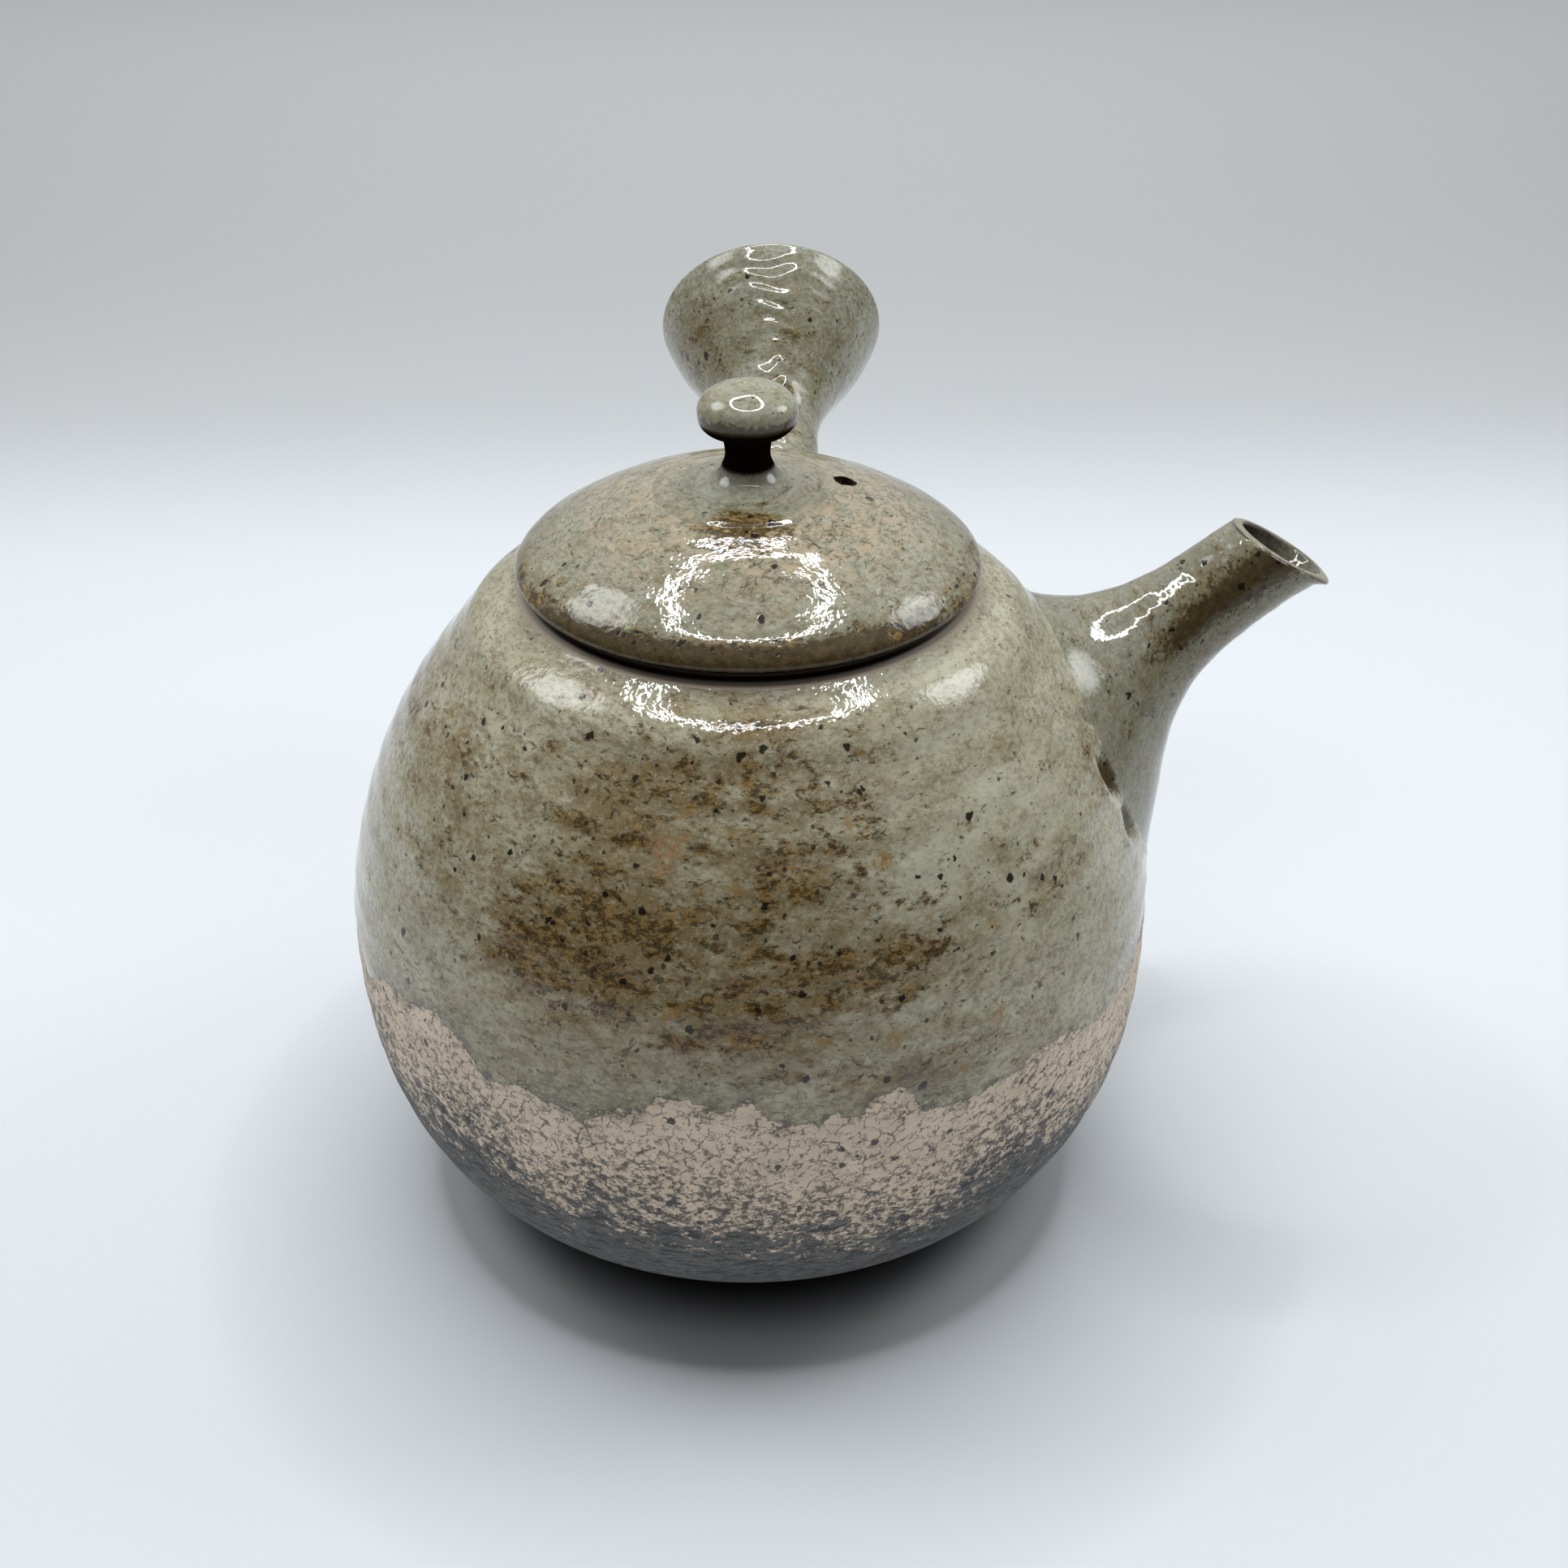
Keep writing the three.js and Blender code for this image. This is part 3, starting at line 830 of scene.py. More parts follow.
    def clay_layers(self, paint: Painter, drag: tuple) -> tuple[bpy.types.NodeSocket, Field]:
        """Paints the bare clay with its drag marks.

        Args:
            paint: The material's painter.
            drag: Coordinates stretched round the wall.

        Returns:
            Its colour and its relief in millimetres.
        """
        low = paint.rise(paint.mark("slip_height"), -8.0, -20.0) * 0.05
        tone, streak = paint.noise(1.8, 51, 7.0, 0.74, drag), paint.noise(0.7, 52, 4.0, 0.66, drag)
        colour = paint.stain(self.clay_dark, self.clay, tone + low, 0.43, 0.56)
        colour = paint.stain(colour, self.clay_light, streak + low, 0.53, 0.7, 0.6)
        colour = paint.stain(colour, self.slip_shade, paint.noise(1.1, 53, 4.0, 0.66, drag), 0.67, 0.71, 0.55)
        return colour, streak * 0.05 + paint.noise(0.3, 54, 2.0) * 0.03


@dataclass(frozen=True)
class BareClay:
    """Unglazed clay inside the pot."""

    dry: tuple = (0.17, 0.15, 0.125)
    damp: tuple = (0.11, 0.095, 0.08)
    grit: tuple = (0.3, 0.27, 0.23)
    rough: float = 0.78

    def material(self) -> bpy.types.Material:
        """Paints the clay.

        Returns:
            The material.
        """
        paint = Painter("strainer_clay")
        colour = paint.stain(self.damp, self.dry, paint.noise(1.8, 61, 4.0, 0.6), 0.35, 0.65)
        grit = paint.noise(0.35, 62, 3.0, 0.6)
        colour = paint.stain(colour, self.grit, grit, 0.6, 0.72, 0.4)
        return paint.finish(colour, self.rough, grit * 0.04)


def dressed(piece: bpy.types.Object, material: bpy.types.Material, rider: Rider,
            node: str) -> None:
    """Finishes a piece: its material, the body it rides on and the frame's node it stands for.

    Args:
        piece: The mesh object.
        material: Its finish.
        rider: The body that carries it.
        node: The frame's node that it replaces.
    """
    piece.data.materials.append(material)
    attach(piece, rider.value)
    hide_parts(node)
    low, high = (np.array(corner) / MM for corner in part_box(node))
    faces = len(piece.data.polygons)
    LOG.info("%s: %d faces, frame box %s to %s mm", piece.name, faces, low.round(1), high.round(1))


# Pieces


@dataclass
class PotBody:
    """The thrown round body, from its flat foot to the rim that carries the lid."""

    belly_radius: float = 50.0
    belly_height: float = 38.0
    foot_radius: float = 25.0
    rim_radius: float = 26.0
    rim_height: float = RIM_HEIGHT
    rim_width: float = 3.6
    rim_edge: float = 0.6
    collar_depth: float = 3.0
    wall: float = 3.2
    floor: float = 4.5
    shoulder_angle: float = 27.0
    foot_angle: float = 20.0
    shoulder_fullness: float = 0.5
    shoulder_run: float = 0.41
    under_fullness: float = 0.52
    under_run: float = 0.8
    hole_radius: float = 8.5
    wiped_radius: float = 26.95
    around: int = 440
    skin_step: float = 0.5
    room_step: float = 1.6
    ring_spacing: float = 4.6
    ring_depth: float = 0.045
    waver: float = 0.07
    glaze_depth: float = 0.12
    shoulder_swell: float = 0.8
    swell_radius: float = 31.5
    swell_width: float = 2.6
    swell_from: float = 70.0
    # Where the painted sheen of a side lamp's hazy reflection lies: its direction and half width in degrees
    painted_sheen_middle: float = -50.0
    painted_sheen_width: float = 24.0
    # The glaze's lower edge and the slip's, as (direction in degrees, height), as the viewer sees them
    glaze_edge: tuple = (
        (-176, 41), (-165, 43), (-157, 39.5), (-150, 43.5), (-143, 44), (-136, 45.8), (-131, 44),
        (-126, 41), (-120, 42.3), (-115, 41), (-112.5, 39.9), (-109, 42), (-104, 43), (-102, 45.3),
        (-97, 44.5), (-93, 43.8), (-90.5, 45.6), (-88, 42.4), (-82, 41.8), (-80, 43), (-77, 41.8),
        (-75, 44.3), (-71, 45), (-68.5, 41.3), (-63, 40.3), (-58, 41.5), (-54, 41.2), (-50, 43), (-44, 42),
        (-36, 40), (-20, 42), (-6, 44), (12, 41), (25, 43.5), (38, 40), (60, 42.5), (78, 41), (96, 44),
        (110, 41.5), (128, 43.5), (150, 40.5), (168, 42.5))
    slip_edge: tuple = (
        (-170, 27), (-152, 30), (-145, 25), (-137, 30), (-130, 30), (-124, 27), (-120, 24.4), (-112, 27.5),
        (-100, 26.5), (-90, 25.5), (-80, 24), (-70, 23), (-65, 22), (-60, 27.5), (-50, 29.5), (-44, 26),
        (-30, 24), (-10, 29), (15, 26), (40, 30), (70, 25), (100, 28), (130, 24), (155, 29))
    # Iron clouds: direction, height, half width in degrees, half height and strength
    clouds: tuple = (
        (-97, 63, 36, 15, 0.62), (-118, 62, 9, 5, 0.45), (-110, 57, 9, 3.5, 0.45), (-104, 63, 5, 2.5, 0.4),
        (-125, 57, 4, 3, 0.4), (-91, 53.5, 8, 3, 0.5), (-77, 59, 12, 2.8, 0.5), (-68, 58, 7, 3.5, 0.4),
        (-83, 68, 9, 3, 0.3), (-114, 73.5, 8, 3.5, 0.5), (-100, 76, 8, 2.5, 0.4), (-84, 76, 9, 3, 0.3),
        (-71, 75, 4, 3, 0.5), (-88, 80.5, 7, 1.5, 0.6), (-140, 62, 6, 5, 0.3), (-60, 47, 9, 3, 0.3),
        (-150, 72, 9, 4, 0.4), (-45, 60, 8, 4, 0.3), (-72, 46.5, 10, 2.5, 0.4), (-96, 68, 6, 3, -0.35),
        (-122, 68, 6, 2, -0.2), (-99, 58.5, 5, 2, -0.3), (-84, 62.5, 6, 2, -0.3), (-66, 66, 7, 4, -0.35))
    # The outer outline below the belly, and the whole of it
    under: np.ndarray = field(init=False, repr=False)
    outside: np.ndarray = field(init=False, repr=False)

    def __post_init__(self) -> None:
        """Works out the outer outline, from the foot's edge to the rim."""
        foot, belly = (self.foot_radius, 0.0), (self.belly_radius, self.belly_height)
        rim = (self.rim_radius, self.rim_height - self.rim_edge)
        low = polar(foot, self.under_run * (self.belly_radius - self.foot_radius), self.foot_angle)
        self.under = bezier([foot, low, (belly[0], belly[1] * (1 - self.under_fullness)), belly], 200)
        full = belly[1] + (self.rim_height - belly[1]) * self.shoulder_fullness
        high = polar(rim, self.shoulder_run * (self.belly_radius - self.rim_radius), -self.shoulder_angle)
        self.outside = joined([self.under, bezier([belly, (belly[0], full), high, rim], 200)])

    def radius_at(self, height: np.ndarray) -> np.ndarray:
        """Returns the outer wall's distance from the axis at each height."""
        return np.interp(height, self.outside[:, 1], self.outside[:, 0])

    def lean_at(self, height: float) -> float:
        """Finds how far the wall leans in.

        Args:
            height: Where to look, in millimetres.

        Returns:
            The lean in radians.
        """
        along = tangents(self.outside)
        outward = np.interp(height, self.outside[:, 1], along[:, 0])
        upward = np.interp(height, self.outside[:, 1], along[:, 1])
        return math.atan2(-outward, upward)

    def depth_of(self, points: np.ndarray) -> np.ndarray:
        """Returns how far each point lies inside the outer wall, measured level."""
        return self.radius_at(points[..., 2]) - np.hypot(points[..., 0], points[..., 1])

    def outlines(self) -> tuple[np.ndarray, np.ndarray]:
        """Draws the body's outlines.

        Returns:
            The outer outline with its rim, and the inner one down to the floor's middle.
        """
        mouth = self.rim_radius - self.rim_width
        foot = softened((0, 0), (self.foot_radius, 0), tuple(self.under[12]), 1.2)
        wall = self.outside[self.outside[:, 1] > foot[-1][1]]
        top = self.rim_height
        brow = bezier([wall[-1], (self.rim_radius - 0.1, top), (self.rim_radius - 2 * self.rim_edge, top)], 6)
        collar_foot = (mouth, top - self.collar_depth)
        inner_brow = softened((self.rim_radius, top), (mouth, top), collar_foot, self.rim_edge)
        collar = np.array([(mouth, top - self.collar_depth + 0.3)])
        outer = joined([
            resampled(np.array([(0.0, 0.0), tuple(foot[0])]), 2.5), foot, resampled(wall, self.skin_step),
            brow, inner_brow, collar])
        room = offset(self.outside, -self.wall)
        room = room[room[:, 1] > self.floor][::-1]
        base = resampled(np.array([(room[-1][0] - 1.5, self.floor), (0.0, self.floor)]), 2.5)
        inner = joined([resampled(room, self.room_step), base])
        return outer, inner

    def build(self, seams: list[np.ndarray]) -> bpy.types.Object:
        """Builds the body's skin.

        Args:
            seams: The closed curves in millimetres where spout and handle meet the wall.

        Returns:
            The mesh object.
        """
        outer, inner = self.outlines()
        outline = joined([outer, inner])
        grid, angle = swept(outline, self.around)
        along = lengths_along(outline)
        height = outline[:, 1][:, None]
        on_skin = (np.arange(len(outline)) < len(outer) - 8)[:, None] * smooth(height, 1.0, 5.0)
        pulse = 2 * math.pi * along / self.ring_spacing + 1.5 * np.cos(angle + 0.6)
        rings = self.ring_depth * np.cos(pulse)
        uneven = rings + self.waver * ripple(angle, along, 7, 14.0)
        uneven = uneven * smooth(self.rim_height - height, 0.5, 3.0)
        below = self.edge_height(self.glaze_edge, grid) - grid[:, :, 2]
        unglazed = smooth(below, -0.5, 0.5) * self.glaze_depth
        swell = self.shoulder_swell * hill(outline[:, 0][:, None], self.swell_radius, self.swell_width)
        shift = uneven - 0.05 - unglazed + (height > self.swell_from) * swell + self.seam_relief(grid, seams)
        grid = grid + out_from(outline, angle) * (on_skin * shift)[:, :, None]
        piece = skin("pot_body", grid, True)
        hole = self.rim_height - SPOUT_DROP
        place = (float(self.radius_at(np.array(hole))), 0.0, hole)
        drilled(piece, drill_of(self.hole_radius, 12.0, place, math.pi / 2 - self.lean_at(hole)))
        return piece

    @staticmethod
    def edge_height(edge: tuple, grid: np.ndarray) -> np.ndarray:
        """Reads an edge's height at each point's direction.

        Args:
            edge: Pairs (direction in degrees, height).
            grid: Points, with x, y and z along the last axis.

        Returns:
            A height for each point.
        """
        directions, heights = np.array(edge).T
        found = azimuth_of(grid.reshape(-1, 3))
        return np.interp(found, directions, heights, period=360).reshape(grid.shape[:-1])

    def seam_relief(self, grid: np.ndarray, seams: list[np.ndarray]) -> np.ndarray:
        """Raises a soft fillet round each luted seam, with the hollows that the potter's tool left.

        Args:
            grid: The skin's points.
            seams: The closed curves in millimetres where spout and handle meet the wall.

        Returns:
            How far each point moves out, in millimetres.
        """
        flat = grid.reshape(-1, 3)
        relief = np.zeros(len(flat))
        for seam in seams:
            near = np.linalg.norm(flat - seam.mean(axis=0), axis=1) < 30
            distance, _ = nearest(flat[near], seam)
            relief[near] += fillet(distance) + 0.12 * hill(distance, 3.4, 1.2)
        for distance, depth in hollows_near(flat):
            relief -= depth * np.exp(-distance**2)
        return relief.reshape(grid.shape[:-1])

    def dress(self, piece: bpy.types.Object, glaze: AshGlaze) -> None:
        """Marks the body's bands and clouds, a painted shadow under the lid's edge, painted shade in the
        seam's hollows and a painted sheen on the shoulder, and gives it its finish.

        Args:
            piece: The body's mesh object.
            glaze: The glaze of its upper part.
        """
        points = corners_of(piece)
        height, level, azimuth = points[:, 2], np.hypot(points[:, 0], points[:, 1]), azimuth_of(points)
        inside = (self.depth_of(points) > 1.2) | (height > self.rim_height - 0.2)
        near_side = nearness(azimuth, 0.1, 0.9)
        wiped = smooth(level, self.wiped_radius + 0.3, self.wiped_radius) * (level > 20) * (height > 80)
        # Painted shadow that the lid's overhang casts on the rim, strongest on the side that faces the viewer
        shaded = smooth(level - 0.2 * near_side, 26.3, 26.0) * smooth(level, 25.4, 25.9) * (height > 82)
        # Painted sheen: a pale haze on the shoulder right of the near side, where a side lamp's reflection
        # falls
        painted_sheen = hill(azimuth, self.painted_sheen_middle, self.painted_sheen_width) * smooth(height, 46, 66)
        marks = {
            "glaze_height": np.where(inside, 9.0, height - self.edge_height(self.glaze_edge, points)),
            "slip_height": height - self.edge_height(self.slip_edge, points),
            "cloud": np.where(inside, 0.1, self.cloud_at(azimuth, height)),
            "bare": wiped * 0.75,
            "painted_shade": np.clip(shaded * (0.35 + 0.6 * near_side), 0, 1),
            # Painted shade in the seam's hollows, carried by the toast mark
            "toast_and_hollow_shade": hollow_shade(points),
            "painted_sheen": np.where(inside, 0, 0.8 * painted_sheen)}
        for name, values in marks.items():
            mark(piece, name, values)
        dressed(piece, BandedWall(glaze).material(), Rider.POT, "body")

    def cloud_at(self, azimuth: np.ndarray, height: np.ndarray) -> np.ndarray:
        """Finds where iron clouds the glaze, on the far side by chance.

        Args:
            azimuth: Each point's direction in degrees.
            height: Its height in millimetres.

        Returns:
            A value from 0 to 1.1 at each point.
        """
        chance = np.random.default_rng(12)
        ranges = ((-20, 200), (48, 80), (6, 16), (2, 6), (0.3, 0.8))
        hidden = [tuple(chance.uniform(*ends) for ends in ranges) for _ in range(16)]
        return np.clip(spotted(azimuth, height, (*self.clouds, *hidden)), 0, 1.1)


def turned_back(place: tuple) -> np.ndarray:
    """Returns a place given on the viewer's axes as a point of the pot's own frame."""
    return np.array(VIEW_TURN @ Vector(place))


def nearest(points: np.ndarray, curve: np.ndarray) -> tuple[np.ndarray, np.ndarray]:
    """Measures how far points lie from a curve.

    Args:
        points: The points, one row each.
        curve: The curve's points.

    Returns:
        Each point's distance, and the number of the curve's nearest point.
    """
    distance = np.full(len(points), np.inf)
    which = np.zeros(len(points), int)
    for number, corner in enumerate(curve):
        here = np.linalg.norm(points - corner, axis=1)
        closer = here < distance
        distance[closer] = here[closer]
        which[closer] = number
    return distance, which


# Hollows along the spout's seam, on the viewer's axes: place, reach along each axis and depth
SEAM_HOLLOWS = (
    ((38.9, -9.8, 69.4), (0.8, 0.9, 1.7), 0.45),
    ((41.7, -12.9, 63.0), (1.6, 1.4, 2.7), 1.1),
    ((44.7, -13.2, 56.6), (1.4, 1.4, 2.9), 0.8),
    ((34.4, 0.4, 76.6), (1.2, 1.4, 0.8), 0.1),
)


def hollows_near(points: np.ndarray) -> list[tuple[np.ndarray, float]]:
    """Returns each hollow's distance from the points, as a share of its reach, and its depth."""
    return [(np.linalg.norm((points - turned_back(place)) / np.array(reach), axis=1), depth)
            for place, reach, depth in SEAM_HOLLOWS]


def hollow_shade(points: np.ndarray) -> np.ndarray:
    """Finds how much painted shade darkens the seam's hollows.

    Args:
        points: The points, one row each.

    Returns:
        A value from 0 to 1 at each point.
    """
    found = hollows_near(points)
    shade = sum(min(1.0, depth) * np.exp(-((distance / 1.2) ** 3)) for distance, depth in found)
    return np.clip(shade, 0, 1)


@dataclass
class Spout:
    """The hollow spout, luted on and cut to a slanting beak."""

    pot: PotBody
    root_height: float = RIM_HEIGHT - SPOUT_DROP
    root_angle: float = 35.0
    root_radius: float = 14.4
    foot_radius: float = 21.0
    reach: float = 65.1
    tip_height: float = 81.9
    tip_angle: float = 27.5
    tip_radius: float = 6.0
    flare_power: float = 3.8
    foot_spread: float = 3.3
    tip_wall: float = 1.15
    root_wall: float = 2.8
    cut_angle: float = 60.0
    overrun: float = 6.0
    sunk: float = 1.3
    around: int = 224
    rows: int = 120
    lip: float = 0.5
    drip: float = 0.8
    drip_middle: float = 245.0
    drip_width: float = 34.0
    waver: float = 0.07
    # Iron clouds and toasted zones: direction, distance along, half width in degrees, half length, strength
    clouds: tuple = (
        (150, 29, 26, 9, 0.6), (163, 22, 18, 8, 0.5), (128, 27, 14, 6, 0.4), (170, 34, 14, 5, 0.5),
        (215, 26, 30, 8, 0.35), (330, 24, 20, 9, 0.6), (60, 20, 14, 6, 0.3))
    toasted: tuple = ((158, 36, 26, 10, 1.4), (162, 23, 17, 6, 0.84))
    # How far the middle line starts inside the wall, its points and the distance travelled at each
    inside: float = field(init=False)
    line: np.ndarray = field(init=False, repr=False)
    travel: np.ndarray = field(init=False, repr=False)
    # Each vertex's direction in degrees, and whether it lies on the cut face or in the bore
    directions: np.ndarray = field(init=False, repr=False)
    face: np.ndarray = field(init=False, repr=False)
    deep: np.ndarray = field(init=False, repr=False)

    def __post_init__(self) -> None:
        """Works out the middle line, from inside the wall to past the tip."""
        root = (float(self.pot.radius_at(np.array(self.root_height))), self.root_height)
        tip = (self.reach, self.tip_height)
        self.inside = self.pot.wall + self.overrun
        start = polar(root, -self.inside, self.root_angle)
        end = polar(tip, self.overrun, self.tip_angle)
        third = math.dist(start, end) / 3
        self.line = bezier([start, polar(start, third, self.root_angle),
                            polar(end, -third, self.tip_angle), end], 600)
        self.travel = lengths_along(self.line)[:, 0]

    def ring_points(self, travel: np.ndarray, turn: np.ndarray, bore: bool) -> np.ndarray:
        """Finds points on the spout's outer face or its bore.

        Args:
            travel: Distances along the middle line in millimetres.
            turn: Angles round the ring in radians, of the same shape.
            bore: Whether they lie on the bore.

        Returns:
            The points, with x, y and z along a last axis.
        """
        total = self.travel[-1]
        length = total - self.inside - self.overrun
        to_tip = np.maximum(0, 1 - (travel - self.inside) / length)
        growth = np.where(to_tip < 1, to_tip**self.flare_power, 1 + self.foot_spread * (to_tip - 1))
        flare = self.tip_radius + (self.root_radius - self.tip_radius) * growth
        wall = self.tip_wall + (self.root_wall - self.tip_wall) * np.minimum(1, to_tip)
        radius = np.minimum(flare, self.foot_radius) - (wall if bore else 0)
        along = tangents(self.line)
        centre_x, centre_z = (np.interp(travel, self.travel, self.line[:, i]) for i in (0, 1))
        along_x, along_z = (np.interp(travel, self.travel, along[:, i]) for i in (0, 1))
        rise = radius * np.sin(turn)
        ahead, upward = centre_x - rise * along_z, centre_z + rise * along_x
        return np.stack([ahead, radius * np.cos(turn), upward], axis=-1)

    def ends(self, turn: np.ndarray, bore: bool) -> tuple[np.ndarray, ...]:
        """Finds where each line along the spout leaves the wall and where it meets the slanting cut.

        Args:
            turn: Angles round the spout in radians.
            bore: Whether the lines run along the bore.

        Returns:
            The distances along the middle line inside the wall, at its skin and at the cut.
        """
        travel = np.linspace(0, self.travel[-1], 900)
        grid = self.ring_points(*np.meshgrid(travel, turn, indexing="ij"), bore)
        depth = self.pot.depth_of(grid)
        last = len(travel) - 1
        from_wall = travel[last - np.argmax((depth > self.sunk)[::-1], axis=0)]
        at_skin = travel[last - np.argmax((depth > 0)[::-1], axis=0)]
        slant = math.radians(self.cut_angle)
        ahead = (grid[..., 0] - self.reach) * math.cos(slant)
        ahead = ahead + (grid[..., 2] - self.tip_height) * math.sin(slant)
        first = np.argmax(ahead > 0, axis=0)
        columns = np.arange(len(turn))
        before, after = ahead[first - 1, columns], ahead[first, columns]
        step = travel[1] - travel[0]
        return from_wall, at_skin, travel[first - 1] + step * (-before / (after - before))

    def build(self) -> tuple[bpy.types.Object, np.ndarray]:
        """Builds the spout.

        Returns:
            The mesh object, and the closed curve where it meets the wall.
        """
        turn = np.linspace(0, 2 * math.pi, self.around, endpoint=False)
        share = np.linspace(0, 1, self.rows)[:, None]
        root, at_skin, cut = self.ends(turn, False)
        bore_root, _, bore_cut = self.ends(turn, True)
        root, at_skin, bore_root = evened(root), evened(at_skin), evened(bore_root)
        travel = root + (cut - root) * share
        spread = np.broadcast_to(turn, travel.shape)
        outside = self.ring_points(travel, spread, False)
        axis = self.ring_points(travel, spread, True)
        out = outside - axis
        out = out / np.linalg.norm(out, axis=2)[:, :, None]
        from_seam = np.abs(travel - at_skin)
        from_lip = cut - travel
        dents = ripple(spread, travel, 23, 5.0) + 0.32 * ripple(3 * spread, travel, 29, 1.6, 14)
        wave = self.waver * dents * smooth(from_lip, 0.3, 3.0) * smooth(from_seam, 0.3, 3.0)
        low_lip = hill(np.degrees(turn), self.drip_middle, self.drip_width)
        drip = self.drip * low_lip * smooth(from_lip, 1.9, 0.3)
        outside = outside + out * (wave + fillet(from_seam) + drip - 0.03)[:, :, None]
        bore_travel = bore_root + (bore_cut - bore_root) * share[::-4]
        bore = self.ring_points(bore_travel, np.broadcast_to(turn, bore_travel.shape), True)
        face_out, face_in = outside[-1], bore[0]
        across = face_in - face_out
        across = across / np.linalg.norm(across, axis=1)[:, None]
        edge_out = self.rounded(outside[-1] - outside[-2], face_out, across)
        edge_in = self.rounded(bore[0] - bore[1], face_in, -across)[::-1]
        middle = (face_out + face_in)[None] / 2
        grid = np.concatenate([outside[:-1], edge_out, middle, edge_in, bore[1:]])
        piece = skin("pot_spout", grid, False)
        row = np.arange(len(grid)) - len(outside) + 1
        self.directions = np.tile(np.degrees(turn), len(grid))
        on_face = (row >= 2) & (row < len(edge_out) + len(edge_in) - 1)
        self.face = np.repeat(on_face, self.around)
        self.deep = np.repeat(row >= len(edge_out) + 2, self.around)
        return piece, self.ring_points(at_skin, turn, False)

    def rounded(self, ahead: np.ndarray, corner: np.ndarray, across: np.ndarray) -> np.ndarray:
        """Rounds the lip's edge.

        Args:
            ahead: The direction of travel at each corner.
            corner: The sharp corners.
            across: The direction across the cut face.

        Returns:
            Rows of points, from the wall round to the cut face.
        """
        ahead = ahead / np.linalg.norm(ahead, axis=1)[:, None]
        start, end = corner - ahead * self.lip, corner + across * self.lip
        shares = np.linspace(0, 1, 5)[:, None, None]
        return start * (1 - shares) ** 2 + corner * 2 * shares * (1 - shares) + end * shares**2

    def dress(self, piece: bpy.types.Object, glaze: AshGlaze) -> None:
        """Marks the spout's clouds, its bare lip, its toasted zones with painted shade in the seam's hollows
        and painted shade in its bore, and gives it its glaze.

        Args:
            piece: The spout's mesh object.
            glaze: Its glaze.
        """
        points = corners_of(piece)
        line = np.stack([self.line[:, 0], np.zeros(len(self.line)), self.line[:, 1]], axis=1)[::6]
        _, which = nearest(points, line)
        travel = self.travel[::6][which]
        cloud = spotted(self.directions, travel, self.clouds)
        # Toasted zones, and painted shade in the seam's hollows
        toast_and_hollow_shade = spotted(self.directions, travel, self.toasted) + hollow_shade(points)
        mark(piece, "cloud", np.clip(cloud, 0, 1.4) * ~self.deep)
        mark(piece, "toast_and_hollow_shade", np.clip(toast_and_hollow_shade, 0, 1.25) * ~self.deep * ~self.face)
        mark(piece, "bare", self.face * 0.46)
        # Painted shade inside the bore
        mark(piece, "painted_shade", self.deep * 0.45)
        dressed(piece, glaze.material(), Rider.POT, "spout")


def evened(values: np.ndarray) -> np.ndarray:
    """Smooths away small steps.

    Args:
        values: Values round a ring.

    Returns:
        The smoothed values.
    """
    weights = np.array([1.0, 4.0, 6.0, 4.0, 1.0]) / 16
    padded = np.r_[values[-2:], values, values[:2]]
    return np.convolve(padded, weights, "valid")


